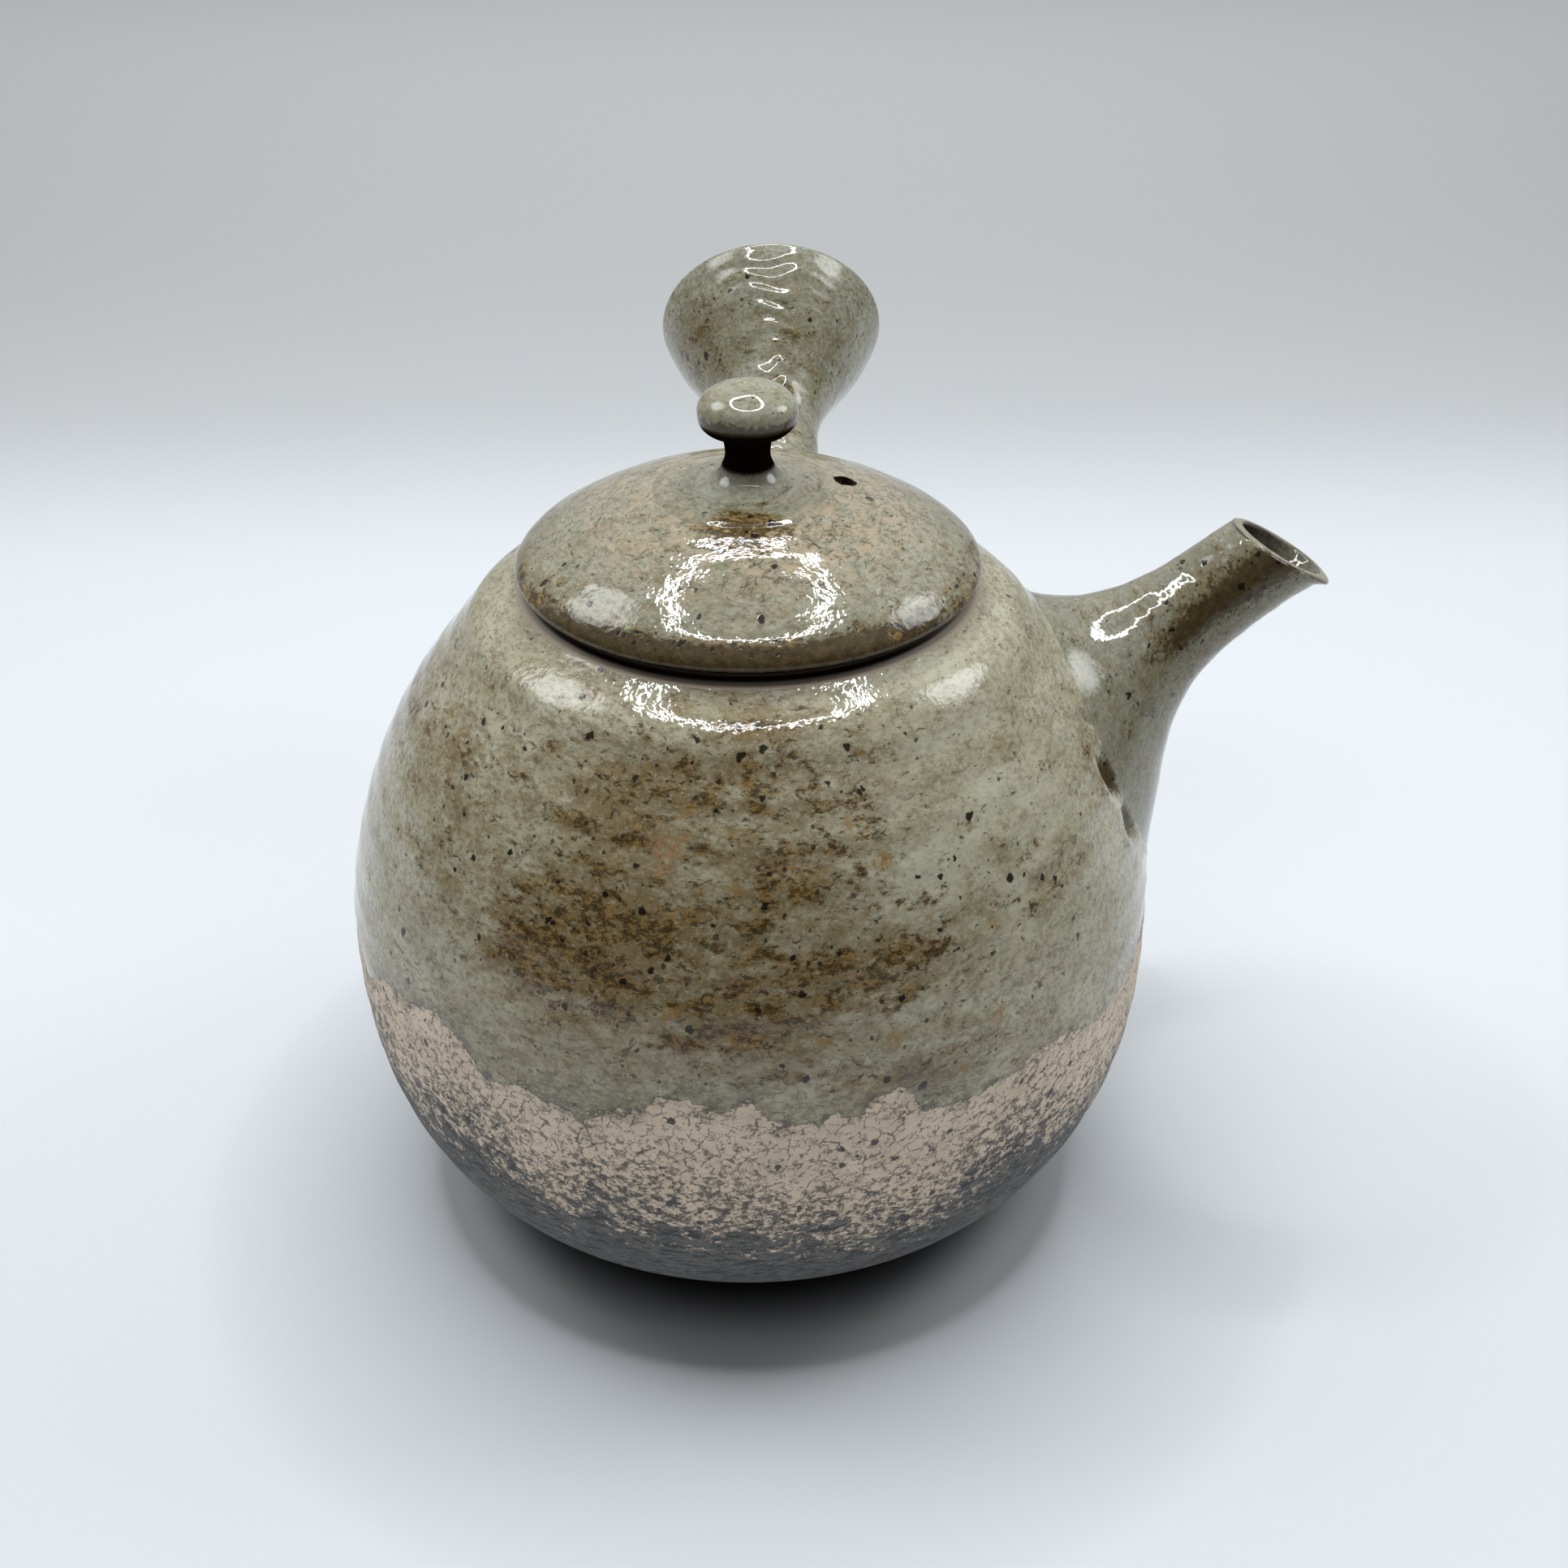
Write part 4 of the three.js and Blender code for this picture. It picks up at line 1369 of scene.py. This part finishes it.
@dataclass
class Handle:
    """The hollow trumpet handle, luted on beside the spout and open at its far end."""

    pot: PotBody
    root_height: float = 56.2
    aside: float = 3.9
    length: float = 55.6
    angle: float = 23.5
    turn: float = 82.0
    mouth_radius: float = 17.2
    neck_radius: float = 6.7
    root_radius: float = 9.5
    root_flare: float = 14.0
    bell_length: float = 25.6
    wall: float = 2.2
    lip: float = 0.6
    mouth_angle: float = 72.0
    neck_share: float = 0.4
    mouth_share: float = 0.5
    around: int = 300
    step: float = 0.45
    sunk: float = 1.3
    waver: float = 0.05
    ring_spacing: float = 3.0
    ring_depth: float = 0.09
    lobe_depth: float = 0.022
    # Where round the handle the throwing rings stand out, in degrees
    top_line: float = 270.0
    top_width: float = 24.0
    # Iron clouds: direction, height along, half width in degrees, half length and strength
    clouds: tuple = (
        (300, 42, 45, 8, 0.35), (200, 46, 45, 7, 0.6), (60, 46, 50, 6, 0.4), (130, 30, 60, 8, 0.3),
        (250, 33, 60, 9, 0.2))
    # Each vertex's direction in degrees and its height along the handle, and the first vertex of the bore
    directions: np.ndarray = field(init=False, repr=False)
    height: np.ndarray = field(init=False, repr=False)
    bore_from: int = field(init=False, repr=False)

    def frame_matrix(self) -> tuple[np.ndarray, np.ndarray]:
        """Finds where the handle stands.

        Returns:
            The rotation that takes the handle's own axis to its place, and its root's place.
        """
        radius = float(self.pot.radius_at(np.array(self.root_height)))
        root = Vector((self.aside, math.sqrt(radius**2 - self.aside**2), self.root_height))
        side = Matrix.Rotation(math.radians(self.turn - 90), 3, "Z")
        tilt = Matrix.Rotation(math.radians(self.angle - 90), 3, "X")
        return np.array(side @ tilt), np.array(side @ root)

    def outlines(self) -> tuple[np.ndarray, np.ndarray]:
        """Draws the handle's outlines.

        Returns:
            The outer outline from the root to the mouth, and the inner one back.
        """
        low = (self.neck_radius, self.root_flare)
        flare = bezier([(self.root_radius, 0), (self.neck_radius, self.root_flare / 3), low], 60)
        high = (self.neck_radius, self.length - self.bell_length)
        mouth = (self.mouth_radius, self.length)
        near_mouth = polar(mouth, -self.mouth_share * self.bell_length, self.mouth_angle)
        bell = bezier([high, (high[0], high[1] + self.neck_share * self.bell_length), near_mouth, mouth], 120)
        stub = np.array([(self.root_radius, -self.pot.wall - 3.0), (self.root_radius, 0)])
        outer = resampled(joined([stub, flare, bell]), self.step)
        inner = offset(joined([flare, bell]), -self.wall)
        inner = resampled(joined([inner[::-1], stub[::-1] - (self.wall, 0)]), 1.2)
        return outer, inner

    def build(self) -> tuple[bpy.types.Object, np.ndarray]:
        """Builds the handle.

        Returns:
            The mesh object, and the closed curve where it meets the wall.
        """
        outer, inner = self.outlines()
        middle = (outer[-1] + inner[0]) / 2
        crest = np.array(polar(tuple(middle), self.lip, self.mouth_angle))
        lip, back = (bezier([edge, edge * 0.55 + crest * 0.55 - middle * 0.1, crest], 4)
                     for edge in (outer[-1], inner[0]))
        outline = joined([outer[:-1], lip, back[-2::-1], inner[1:]])
        grid, angle = swept(outline, self.around)
        rotation, place = self.frame_matrix()
        count = len(outer)
        along = lengths_along(outline)
        pulse = 2 * math.pi * along / self.ring_spacing + 0.7 * np.cos(along / 5.3)
        pulse = pulse + 1.5 * np.cos(9 * angle + along / 2.9) + 0.5 * np.cos(angle + 1.0)
        on_top = hill(np.degrees(angle), self.top_line, self.top_width)
        rings = self.ring_depth * np.cos(pulse) * (0.12 + 0.88 * on_top)
        lobes = np.cos(13 * angle + 1.2 * np.cos(along / 4.1)) * np.cos(2 * math.pi * along / 6.4 + angle)
        lobes = lobes + 0.6 * np.cos(9 * angle + 2) * np.cos(2 * math.pi * along / 4.3 + 2 * angle)
        wave = self.waver * ripple(angle, along, 31, 6.0) + rings + self.lobe_depth * lobes
        keep = smooth(self.length - outline[:, 1], 0.3, 3.0) * (np.arange(len(outline)) < count)
        out = out_from(outline, angle)
        grid = grid + out * (wave * keep[:, None])[:, :, None]
        placed = grid @ rotation.T + place
        depth = self.pot.depth_of(placed[:count])
        first = int((count - 1 - np.argmax((depth > self.sunk)[::-1], axis=0)).min())
        at_skin = count - 1 - np.argmax((depth > 0)[::-1], axis=0)
        seam = placed[at_skin, np.arange(self.around)]
        from_seam = np.abs(outline[:count, 1][:, None] - outline[at_skin, 1])
        grid[:count] += out[:count] * fillet(from_seam)[:, :, None]
        placed = grid @ rotation.T + place
        in_wall = self.pot.depth_of(placed) > self.pot.wall - 0.4
        placed = np.where(in_wall[:, :, None], self.held_out(placed), placed)
        self.height = np.repeat(outline[first:, 1], self.around)
        self.directions = np.tile(np.degrees(angle), len(outline) - first)
        self.bore_from = (count + 4 - first) * self.around
        return skin("pot_handle", placed[first:], False), seam

    def held_out(self, points: np.ndarray) -> np.ndarray:
        """Keeps points out of the room inside the wall.

        Args:
            points: Points, with x, y and z along the last axis.

        Returns:
            The points, moved level to the middle of the wall.
        """
        radius = self.pot.radius_at(points[..., 2]) - self.pot.wall / 2
        level = np.hypot(points[..., 0], points[..., 1])
        scale = radius / level
        return points * np.stack([scale, scale, np.ones_like(scale)], axis=-1)

    def dress(self, piece: bpy.types.Object, glaze: AshGlaze) -> None:
        """Marks the handle's clouds, its lip and a painted shade that darkens its bore away from the mouth,
        and gives it its glaze.

        Args:
            piece: The handle's mesh object.
            glaze: Its glaze.
        """
        inside = np.arange(len(self.height)) > self.bore_from
        mark(piece, "cloud", np.where(inside, 0.2, spotted(self.directions, self.height, self.clouds)))
        # Painted shade: the bore darkens with distance from its mouth
        mark(piece, "painted_shade", np.where(inside, smooth(self.length - self.height, 6, 30) * 0.6, 0))
        mark(piece, "bare", smooth(self.height, self.length - 0.1, self.length + 0.3) * 0.5)
        dressed(piece, glaze.material(), Rider.POT, "handle")


def pooled_iron(azimuth: np.ndarray, radius: np.ndarray) -> np.ndarray:
    """Returns how much iron has pooled in front of the knob at each direction and distance, from 0 to 1."""
    return np.exp(-((((azimuth + 92) / 26) ** 2 + ((radius - 11.2) / 3.3) ** 2) ** 2))


@dataclass
class Lid:
    """The domed lid, with its locating flange and vent hole."""

    seat: float = 84.3
    mouth_radius: float = 22.4
    radius: float = 27.1
    edge_height: float = 1.0
    undercut: float = 1.6
    dome_rise: float = 9.2
    thickness: float = 3.2
    edge_angle: float = 90.0
    crown_angle: float = 9.0
    edge_share: float = 0.11
    crown_share: float = 0.45
    flange_depth: float = 10.0
    flange_thickness: float = 2.4
    flange_clearance: float = 0.5
    pad_radius: float = 8.1
    pad_height: float = 0.4
    vent_radius: float = 1.3
    vent_distance: float = 11.4
    vent_turn: float = 4.0
    vent_height: float = 9.0
    vent_lean: float = 0.12
    groove_radius: float = 10.7
    groove_depth: float = 0.1
    ridge_radius: float = 9.8
    ridge_height: float = 0.07
    ring_spacing: float = 3.1
    ring_depth: float = 0.025
    around: int = 360
    step: float = 0.4
    waver: float = 0.05

    def outline(self) -> np.ndarray:
        """Draws the lid's outline.

        Returns:
            The whole of it, from the middle of the top round to the middle of the underside.
        """
        widest, crown = (self.radius, self.edge_height), (self.pad_radius, self.edge_height + self.dome_rise)
        run = self.radius - self.pad_radius
        dome = bezier([widest, polar(widest, self.edge_share * run, 180 - self.edge_angle),
                       polar(crown, self.crown_share * run, -self.crown_angle), crown], 160)
        outer = self.mouth_radius - self.flange_clearance
        inner = outer - self.flange_thickness
        top = crown[1] + self.pad_height
        pad = bezier([(self.pad_radius - 2.2, top), (self.pad_radius - 1.1, top), crown], 8)
        edge = bezier([widest, (self.radius, self.edge_height / 3), (self.radius - self.undercut, 0)], 10)
        under = offset(dome, -self.thickness)
        under = under[under[:, 0] < inner]
        end = -self.flange_depth
        flange = [(outer, 0.0), (outer, end + 0.6), (outer - 0.8, end), (inner + 0.8, end),
                  (inner, end + 0.6), (inner, under[0][1] - 0.4)]
        return joined([
            resampled(np.array([(0.0, top), (self.pad_radius - 2.2, top)]), 1.5), pad,
            resampled(dome[::-1], self.step), edge, softened((self.radius, 0), (outer, 0), flange[1], 0.4),
            softened(flange[0], flange[1], flange[2], 0.3), softened(flange[2], flange[3], flange[4], 0.3),
            np.array(flange[4:]), resampled(under, 1.2), np.array([(0.0, crown[1] - self.thickness)])])

    def build(self) -> bpy.types.Object:
        """Builds the lid and drills its vent.

        Returns:
            The mesh object.
        """
        outline = self.outline()[::-1]
        grid, angle = swept(outline, self.around)
        along = lengths_along(outline)
        radius, height = outline[:, 0][:, None], outline[:, 1][:, None]
        on_top = smooth(height, self.edge_height - 0.4, self.edge_height + 0.4)
        on_top = on_top * (np.arange(len(outline)) > len(outline) / 3)[:, None]
        depth = self.groove_depth * (0.6 + 0.4 * np.cos(angle + 1.4))
        groove = depth * hill(radius, self.groove_radius, 0.35)
        ridge = self.ridge_height * hill(radius, self.ridge_radius, 0.5)
        rings = self.ring_depth * np.cos(2 * math.pi * radius / self.ring_spacing + np.cos(angle))
        wave = self.waver * ripple(angle, along, 41, 6.0) * smooth(radius, 4.0, 9.0)
        shift = on_top * (ridge - groove + rings + wave - 0.03)
        grid = grid + out_from(outline, angle) * shift[:, :, None]
        grid = grid + np.array([0, 0, self.seat])
        piece = skin("lid_dome", grid, True)
        place = (*self.vent_place(), self.seat + self.vent_height)
        drilled(piece, drill_of(self.vent_radius, 6.0, place, self.vent_lean))
        return piece

    def vent_place(self) -> tuple:
        """Returns the vent's x and y."""
        return polar((0.0, 0.0), self.vent_distance, self.vent_turn)

    def dress(self, piece: bpy.types.Object, glaze: AshGlaze) -> None:
        """Marks the lid's patches, clouds and bare edge, painted shade in its groove, its vent and under its
        edge, and gives it its glaze.

        Args:
            piece: The lid's mesh object.
            glaze: Its glaze.
        """
        points = corners_of(piece)
        height, azimuth = points[:, 2] - self.seat, azimuth_of(points)
        radius = np.hypot(points[:, 0], points[:, 1])
        top = height > 0.3
        patch = smooth(radius, 8.5, 11) * smooth(radius, 24, 16) * (0.6 + 0.4 * hill(azimuth, -60, 70))
        low_edge = smooth(height, 4.4, 2.2) * (0.55 + 0.45 * np.cos(np.radians(azimuth + 95)))
        stain = pooled_iron(azimuth, radius) * 1.9 + low_edge * 0.95
        stain += 0.35 * hill(azimuth, 60, 30) * hill(radius, 25, 3)
        edge = smooth(height, 3.9, 2.2) * nearness(azimuth, 0.25, 0.85)
        # Painted shade in the groove round the crown, on one side
        ring = hill(radius, self.groove_radius, 0.22) * smooth(np.cos(np.radians(azimuth + 140)), -0.2, 0.6)
        vent = np.linalg.norm(points[:, :2] - self.vent_place(), axis=1)
        # Painted shade in the vent hole
        in_vent = smooth(vent, self.vent_radius + 0.1, self.vent_radius)
        # Painted shade under the lid's edge, strongest on the side that faces the viewer
        under = smooth(height, 0.3, 0.02) * (height > -0.5) * (0.3 + 0.6 * nearness(azimuth, 0.1, 0.9))
        mark(piece, "patch", patch)
        mark(piece, "cloud", np.where(top, np.clip(stain, 0, 1.9), 0.1))
        mark(piece, "toast_and_hollow_shade", np.where(top, edge * 1.1 + smooth(height, 1.3, 0.9) * 0.5 * edge, 0))
        mark(piece, "painted_shade", np.clip(np.where(top, ring * 0.25, 0) + in_vent + under, 0, 1))
        mark(piece, "bare", np.maximum(smooth(height, 0.35, 0.1), smooth(height, 1.6, 1.0) * 0.34))
        dressed(piece, glaze.material(), Rider.LID, "lid")


@dataclass
class Knob:
    """The mushroom knob, luted on the lid's crown."""

    base: float = 95.2
    radius: float = 5.7
    middle: float = 8.35
    height: float = 11.5
    neck_radius: float = 2.6
    neck_height: float = 2.9
    neck_top_radius: float = 3.0
    foot_radius: float = 7.6
    foot_edge: float = 0.3
    foot_sink: float = 0.92
    under_height: float = 5.4
    under_rise: float = 1.1
    under_share: float = 0.8
    side_share: float = 0.6
    sunk: float = 0.34
    around: int = 180
    step: float = 0.25
    waver: float = 0.04
    # The height of the girdle where iron has run thick under the cap
    girdle_height: float = 7.4

    def outline(self) -> np.ndarray:
        """Draws the knob's outline.

        Returns:
            The whole of it, from the middle of the foot's face up to the top.
        """
        neck, under = (self.neck_radius, self.neck_height), (self.neck_top_radius, self.under_height)
        foot = (self.foot_radius, self.foot_edge - self.foot_sink)
        flare = bezier([foot, (self.neck_radius + 0.6, -0.1), neck], 40)
        reach = under[0] + (self.radius - under[0]) * self.under_share
        side = self.middle + (under[1] - self.middle) * self.side_share
        swell = under[1] + self.under_rise * self.under_share / 2
        below = bezier([under, (reach, swell), (self.radius, side), (self.radius, self.middle)], 60)
        quarter = np.linspace(0, math.pi / 2, 40)
        cap = np.stack([self.radius * np.cos(quarter),
                        self.middle + (self.height - self.middle) * np.sin(quarter)], axis=1)
        cap[-1, 0] = 0.0
        bottom = np.array([
            (0.0, -self.sunk), (foot[0] - 2.4, -self.sunk), (foot[0] - 0.2, foot[1] - 0.15), foot])
        waist = bezier([neck, (neck[0] - 0.05, (neck[1] + under[1]) / 2), under], 12)
        side_line = resampled(joined([flare, waist, below]), self.step)
        return joined([bottom, side_line, resampled(cap, self.step)])

    def build(self) -> bpy.types.Object:
        """Builds the knob.

        Returns:
            The mesh object.
        """
        outline = self.outline()
        grid, angle = swept(outline, self.around)
        along = lengths_along(outline)
        level = outline[:, 1][:, None]
        wave = (self.waver * ripple(angle, along, 53, 3.5, 6) - 0.02) * smooth(level, 0.5, 3.0)
        grid = grid + out_from(outline, angle) * wave[:, :, None]
        return skin("lid_knob", grid + np.array([0, 0, self.base]), True)

    def dress(self, piece: bpy.types.Object, glaze: AshGlaze) -> None:
        """Marks the iron that gathered under the cap and a painted shade on the neck and under the cap, and
        gives the knob its glaze.

        Args:
            piece: The knob's mesh object.
            glaze: Its glaze.
        """
        points = corners_of(piece)
        height = points[:, 2] - self.base
        pooled = pooled_iron(azimuth_of(points), np.hypot(points[:, 0], points[:, 1]))
        neck = smooth(height, 1.2, 2.1) * smooth(height, 7.3, 6.95)
        girdle = hill(height, self.girdle_height, 1.0)
        mark(piece, "cloud", np.clip(pooled * smooth(height, 1.4, 0.4) * 1.8 + girdle, 0, 1.2))
        mark(piece, "toast_and_hollow_shade", girdle * 1.35)
        # Painted shade on the neck and the cap's underside
        mark(piece, "painted_shade", np.maximum(neck, smooth(height, 8.0, 7.0) * smooth(height, 4.0, 6.0) * 0.75))
        mark(piece, "bare", np.zeros(len(points)))
        dressed(piece, glaze.material(), Rider.LID, "knob")


# Studio


@dataclass(frozen=True)
class Camera:
    """Where the viewer stands, in millimetres and degrees on the viewer's own axes."""

    distance: float = 252.6
    pitch: float = 32.09
    yaw: float = 0.94
    roll: float = -0.51
    aim_height: float = 54.11
    lens: float = 46.58
    sensor: float = 36.0

    def build(self) -> None:
        """Places the camera."""
        pitch, yaw, roll = (math.radians(angle) for angle in (self.pitch, self.yaw, self.roll))
        away = Vector((0, -math.cos(pitch), math.sin(pitch)))
        right = Vector((1, 0, 0))
        up = right.cross(-away)
        ahead = -away * math.cos(yaw) + right * math.sin(yaw)
        level = right * math.cos(yaw) + away * math.sin(yaw)
        across = level * math.cos(roll) + up * math.sin(roll)
        top = up * math.cos(roll) - level * math.sin(roll)
        place = VIEW_TURN @ (away * self.distance + Vector((0, 0, self.aim_height))) * MM
        axes = VIEW_TURN @ Matrix([across, top, -ahead]).transposed()
        data = bpy.data.cameras.new("viewer")
        data.lens, data.sensor_width = self.lens, self.sensor
        data.clip_start, data.clip_end = 0.01, 20
        camera = bpy.data.objects.new("viewer", data)
        camera.matrix_world = Matrix.Translation(place) @ axes.to_4x4()
        bpy.context.scene.collection.objects.link(camera)
        bpy.context.scene.camera = camera


@dataclass(frozen=True)
class Studio:
    """The pale sweep and the lamps: a thin ring overhead, a soft disc at each side and a pale room."""

    floor_size: float = 3000.0
    # Painted shade on the floor: its colour near the pot, in a greyer band behind it and far behind, and
    # where each change starts and ends in millimetres
    near_floor: tuple = (0.595, 0.615, 0.64)
    middle_floor: tuple = (0.455, 0.465, 0.475)
    far_floor: tuple = (0.81, 0.82, 0.83)
    fade_from: float = 165.0
    fade_to: float = 275.0
    far_from: float = 300.0
    far_to: float = 760.0
    # Painted contact shadow round the pot's foot: where it starts and where it is darkest in millimetres, and
    # its colour
    contact_shadow_radii: tuple = (42.0, 31.0)
    contact_shadow_colour: tuple = (0.06, 0.06, 0.06)
    bounce_floor: tuple = (0.83, 0.83, 0.82)
    key_radius: float = 184.0
    key_tube: float = 14.5
    key_height: float = 560.0
    key_forward: float = 60.0
    key_strength: float = 30.5
    key_fade: float = 0.1
    side_radius: float = 76.0
    side_tube: float = 74.0
    side_strength: float = 6.4
    side_fade: float = 90.0
    side_aims: tuple = (("left_lamp", (-0.60, 0.185, 0.78)), ("right_lamp", (0.69, 0.18, 0.70)))
    room_low: float = 0.03
    room_high: float = 0.64
    room_seen: float = 0.62
    room_aim: tuple = (0.0, 0.55, 0.83)
    room_colour: tuple = (0.97, 0.985, 1.0)

    def build(self) -> None:
        """Builds the whole studio."""
        bpy.context.scene.view_settings.view_transform = "Standard"
        self.floor()
        self.room()
        key = Vector((0, self.key_forward, self.key_height))
        self.ring("key_lamp", key, self.key_radius, self.key_tube, self.key_strength, self.key_fade)
        for name, aim in self.side_aims:
            place = Vector(aim).normalized() * self.key_height
            self.ring(name, place, self.side_radius, self.side_tube, self.side_strength, self.side_fade)

    @staticmethod
    def ring(name: str, aim: Vector, radius: float, tube: float, strength: float, fade: float) -> None:
        """Hangs a glowing ring that faces the pot.

        Args:
            name: The lamp's name.
            aim: Its middle in millimetres, on the viewer's own axes.
            radius: The ring's radius in millimetres.
            tube: Half the width of its glowing band in millimetres.
            strength: How brightly it glows.
            fade: Over how many millimetres it dies away at its outer edge.
        """
        place = VIEW_TURN @ aim
        count, edge = 72, radius + tube
        band, _ = swept(np.array([(radius - tube, 0.0), (edge, 0.0)]), count)
        faces = [(i, (i + 1) % count, count + (i + 1) % count, count + i) for i in range(count)]
        mesh = bpy.data.meshes.new(name)
        mesh.from_pydata((band.reshape(-1, 3) * MM).tolist(), [], faces)
        lamp = bpy.data.objects.new(name, mesh)
        facing = place.to_track_quat("Z", "Y").to_matrix().to_4x4()
        lamp.matrix_world = Matrix.Translation(place * MM) @ facing
        bpy.context.scene.collection.objects.link(lamp)
        paint = Painter(name)
        glow = paint.stain((0.0, 0.0, 0.0), LAMP_COLOUR, paint.length(paint.place), edge, edge - fade)
        bulb = paint.node("ShaderNodeEmission", sockets={"Color": glow, "Strength": strength})
        paint.feed(paint.output.inputs["Surface"], bulb.outputs["Emission"])
        mesh.materials.append(paint.material)
        lamp.visible_camera = False

    def floor(self) -> None:
        """Lays the pale sweep, with painted shade that greys it in a band behind the pot before it pales
        again far behind, and a painted contact shadow round the pot's foot.
        """
        half = self.floor_size * MM
        mesh = bpy.data.meshes.new("sweep")
        corners = [(-half, -half, 0), (half, -half, 0), (half, half, 0), (-half, half, 0)]
        mesh.from_pydata(corners, [], [(0, 1, 2, 3)])
        floor = bpy.data.objects.new("sweep", mesh)
        floor.rotation_euler.z = math.radians(POT_TURN)
        bpy.context.scene.collection.objects.link(floor)
        paint = Painter("sweep_paper")
        split = paint.node("ShaderNodeSeparateXYZ", sockets={0: paint.place})
        behind = Field(paint, split.outputs["Y"])
        # Painted shade: the floor greys in a band behind the pot and pales again far behind
        colour = paint.stain(self.near_floor, self.middle_floor, behind, self.fade_from, self.fade_to)
        colour = paint.stain(colour, self.far_floor, behind, self.far_from, self.far_to)
        # Painted contact shadow round the pot's foot
        colour = paint.stain(colour, self.contact_shadow_colour, paint.length(paint.place), *self.contact_shadow_radii)
        path = paint.node("ShaderNodeLightPath")
        seen = [Field(paint, path.outputs[ray]) for ray in ("Is Camera Ray", "Is Glossy Ray")]
        colour = paint.over(paint.maths("MAXIMUM", *seen), self.bounce_floor, colour)
        paint.finish(colour, 0.9, paint.noise(1.2, 71, 2.0) * 0.01)
        paint.feed(paint.shader.inputs["Specular IOR Level"], 0.1)
        mesh.materials.append(paint.material)

    def room(self) -> None:
        """Lights the pot softly from above and behind, least from the viewer's side."""
        world = bpy.data.worlds.new("room")
        bpy.context.scene.world = world
        world.use_nodes = True
        nodes = Nodes(world.node_tree)
        way = nodes.node("ShaderNodeTexCoord").outputs["Generated"]
        towards = nodes.node("ShaderNodeVectorMath", {"operation": "DOT_PRODUCT"},
                             {0: way, 1: VIEW_TURN @ Vector(self.room_aim)})
        blend = nodes.node("ShaderNodeMapRange", {"interpolation_type": "SMOOTHSTEP"},
                           {"Value": towards.outputs["Value"], "From Min": -0.1, "From Max": 1.0,
                            "To Min": self.room_low, "To Max": self.room_high})
        seen = nodes.node("ShaderNodeLightPath").outputs["Is Camera Ray"]
        strength = nodes.node("ShaderNodeMix", {"data_type": "FLOAT"},
                              {0: seen, 2: blend.outputs["Result"], 3: self.room_seen})
        shade = world.node_tree.nodes["Background"]
        nodes.feed(shade.inputs["Color"], (*self.room_colour, 1.0))
        nodes.feed(shade.inputs["Strength"], strength.outputs[0])


def main() -> None:
    """Builds and dresses every piece, then the studio round them."""
    logging.basicConfig(level=logging.INFO, format="%(message)s")
    Camera().build()
    pot, lid, knob = PotBody(), Lid(), Knob()
    spout, handle = Spout(pot), Handle(pot)
    spout_piece, spout_seam = spout.build()
    handle_piece, handle_seam = handle.build()
    pot.dress(pot.build([spout_seam, handle_seam]), BODY_GLAZE)
    spout.dress(spout_piece, SPOUT_GLAZE)
    handle.dress(handle_piece, HANDLE_GLAZE)
    lid.dress(lid.build(), LID_GLAZE)
    knob.dress(knob.build(), KNOB_GLAZE)
    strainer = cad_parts["strainer"]
    strainer.data.materials.clear()
    strainer.data.materials.append(BareClay().material())
    Studio().build()


if __name__ == "__main__":
    main()
